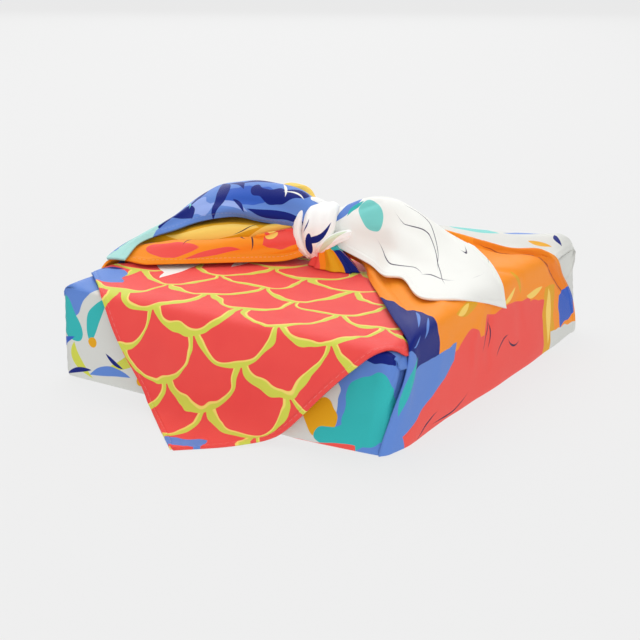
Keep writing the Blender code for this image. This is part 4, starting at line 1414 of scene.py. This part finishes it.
def floor_material(stage):
    """A pale floor that keeps its own light and takes only a soft shadow."""
    material = bpy.data.materials.new("pale floor")
    material.use_nodes = True
    draw = Shading(material.node_tree)
    material.node_tree.nodes.clear()
    glow = draw.node("ShaderNodeEmission")
    glow.inputs["Color"].default_value = rgba(stage.floor_colour)
    glow.inputs["Strength"].default_value = stage.floor_glow
    matt = draw.node("ShaderNodeBsdfDiffuse")
    matt.inputs["Color"].default_value = rgba([(1 - stage.floor_glow) * c for c in stage.floor_colour])
    both = draw.node("ShaderNodeAddShader")
    draw.feed(both.inputs[0], glow.outputs[0])
    draw.feed(both.inputs[1], matt.outputs[0])
    draw.feed(draw.node("ShaderNodeOutputMaterial").inputs["Surface"], both.outputs[0])
    return material


def sky_world(stage):
    """Even light all round, with the floor's own tone at the horizon."""
    world = bpy.data.worlds.new("studio")
    world.use_nodes = True
    draw = Shading(world.node_tree)
    background = world.node_tree.nodes["Background"]
    direction = draw.node("ShaderNodeTexCoord").outputs["Generated"]
    split = draw.node("ShaderNodeSeparateXYZ")
    draw.feed(split.inputs[0], direction)
    height = draw.node("ShaderNodeMapRange")
    draw.feed(height.inputs["Value"], split.outputs[2])
    height.inputs["From Min"].default_value = SKY_FROM
    height.inputs["From Max"].default_value = SKY_TO
    horizon = rgba(stage.floor_colour)
    upper = rgba([stage.sky] * 3)
    draw.feed(background.inputs["Color"], draw.mix(height.outputs[0], horizon, upper))
    return world


def soft_light(lamp, lamp_power):
    """A square soft light that looks at the wrap."""
    data = bpy.data.lights.new(lamp.name + " light", "AREA")
    data.energy = lamp_power
    data.shape = "SQUARE"
    data.size = lamp.size
    light = bpy.data.objects.new(data.name, data)
    light.location = lamp.place
    ahead = Vector(lamp.target) - Vector(lamp.place)
    light.rotation_euler = ahead.to_track_quat("-Z", "Y").to_euler()
    bpy.context.scene.collection.objects.link(light)


def set_camera(stage):
    """The camera, from its turn, height and distance round its target."""
    turn, height, roll = stage.azimuth, stage.elevation, stage.roll
    level = math.cos(height)
    back = Vector((math.sin(turn) * level, -math.cos(turn) * level, math.sin(height)))
    right = Vector((math.cos(turn), math.sin(turn), 0))
    up = back.cross(right)
    box_height = HEIGHT * MM
    target = Vector((0, 0, box_height / 2))
    target -= TARGET_LEFT * box_height * right + TARGET_BELOW * box_height * up
    leaned_right = right * math.cos(roll) + up * math.sin(roll)
    leaned_up = up * math.cos(roll) - right * math.sin(roll)
    camera = bpy.data.objects.new("camera", bpy.data.cameras.new("camera"))
    camera.data.sensor_width = SENSOR
    camera.data.lens = stage.lens
    camera.data.clip_start = CLIP_START
    camera.data.clip_end = CLIP_END
    axes = Matrix((leaned_right, leaned_up, back)).transposed()
    camera.matrix_world = Matrix.Translation(target + back * stage.distance) @ axes.to_4x4()
    bpy.context.scene.collection.objects.link(camera)
    bpy.context.scene.camera = camera


class FUROSHIKI_OT_stage(Operator):
    """Set the pale floor, the soft light and the camera"""

    bl_idname = "furoshiki.stage"
    bl_label = "Stage"

    def execute(self, context):
        stage = context.scene.furoshiki_stage
        half = stage.floor_size / 2
        mesh = bpy.data.meshes.new("floor")
        corners = [(-half, -half, 0), (half, -half, 0), (half, half, 0), (-half, half, 0)]
        mesh.from_pydata(corners, [], [(0, 1, 2, 3)])
        mesh.materials.append(floor_material(stage))
        floor = bpy.data.objects.new("floor", mesh)
        context.scene.collection.objects.link(floor)
        context.scene.world = sky_world(stage)
        for lamp in LAMPS:
            soft_light(lamp, getattr(stage, lamp.name))
        context.scene.view_settings.view_transform = "Standard"
        set_camera(stage)
        return {"FINISHED"}


# ---------------------------------------------------------------- the panel

# In the order that they are made.
PIECES = (
    FUROSHIKI_OT_base,
    FUROSHIKI_OT_corners,
    FUROSHIKI_OT_wings,
    FUROSHIKI_OT_tails,
    FUROSHIKI_OT_knot,
    FUROSHIKI_OT_fan,
    FUROSHIKI_OT_stage,
)


class FUROSHIKI_PT_panel(Panel):
    """Lists the pieces of the wrap and its settings"""

    bl_idname = "FUROSHIKI_PT_panel"
    bl_label = "Furoshiki wrap"
    bl_space_type = "VIEW_3D"
    bl_region_type = "UI"
    bl_category = "Furoshiki"

    def draw(self, context):
        for title in ("furoshiki_cloth", "furoshiki_inks", "furoshiki_stage"):
            group = getattr(context.scene, title)
            box = self.layout.box()
            for name in group.__annotations__:
                box.prop(group, name)
        for operator in PIECES:
            self.layout.operator(operator.bl_idname)


CLASSES = (FuroshikiInks, FuroshikiCloth, FuroshikiStage, *PIECES, FUROSHIKI_PT_panel)


def register():
    for cls in CLASSES:
        bpy.utils.register_class(cls)
    bpy.types.Scene.furoshiki_inks = PointerProperty(type=FuroshikiInks)
    bpy.types.Scene.furoshiki_cloth = PointerProperty(type=FuroshikiCloth)
    bpy.types.Scene.furoshiki_stage = PointerProperty(type=FuroshikiStage)


def unregister():
    del bpy.types.Scene.furoshiki_stage
    del bpy.types.Scene.furoshiki_cloth
    del bpy.types.Scene.furoshiki_inks
    for cls in reversed(CLASSES):
        bpy.utils.unregister_class(cls)


def main():
    register()
    bpy.ops.furoshiki.base()
    bpy.ops.furoshiki.corners()
    bpy.ops.furoshiki.wings()
    bpy.ops.furoshiki.tails()
    bpy.ops.furoshiki.knot()
    bpy.ops.furoshiki.fan()
    bpy.ops.furoshiki.stage()


if __name__ == "__main__":
    main()
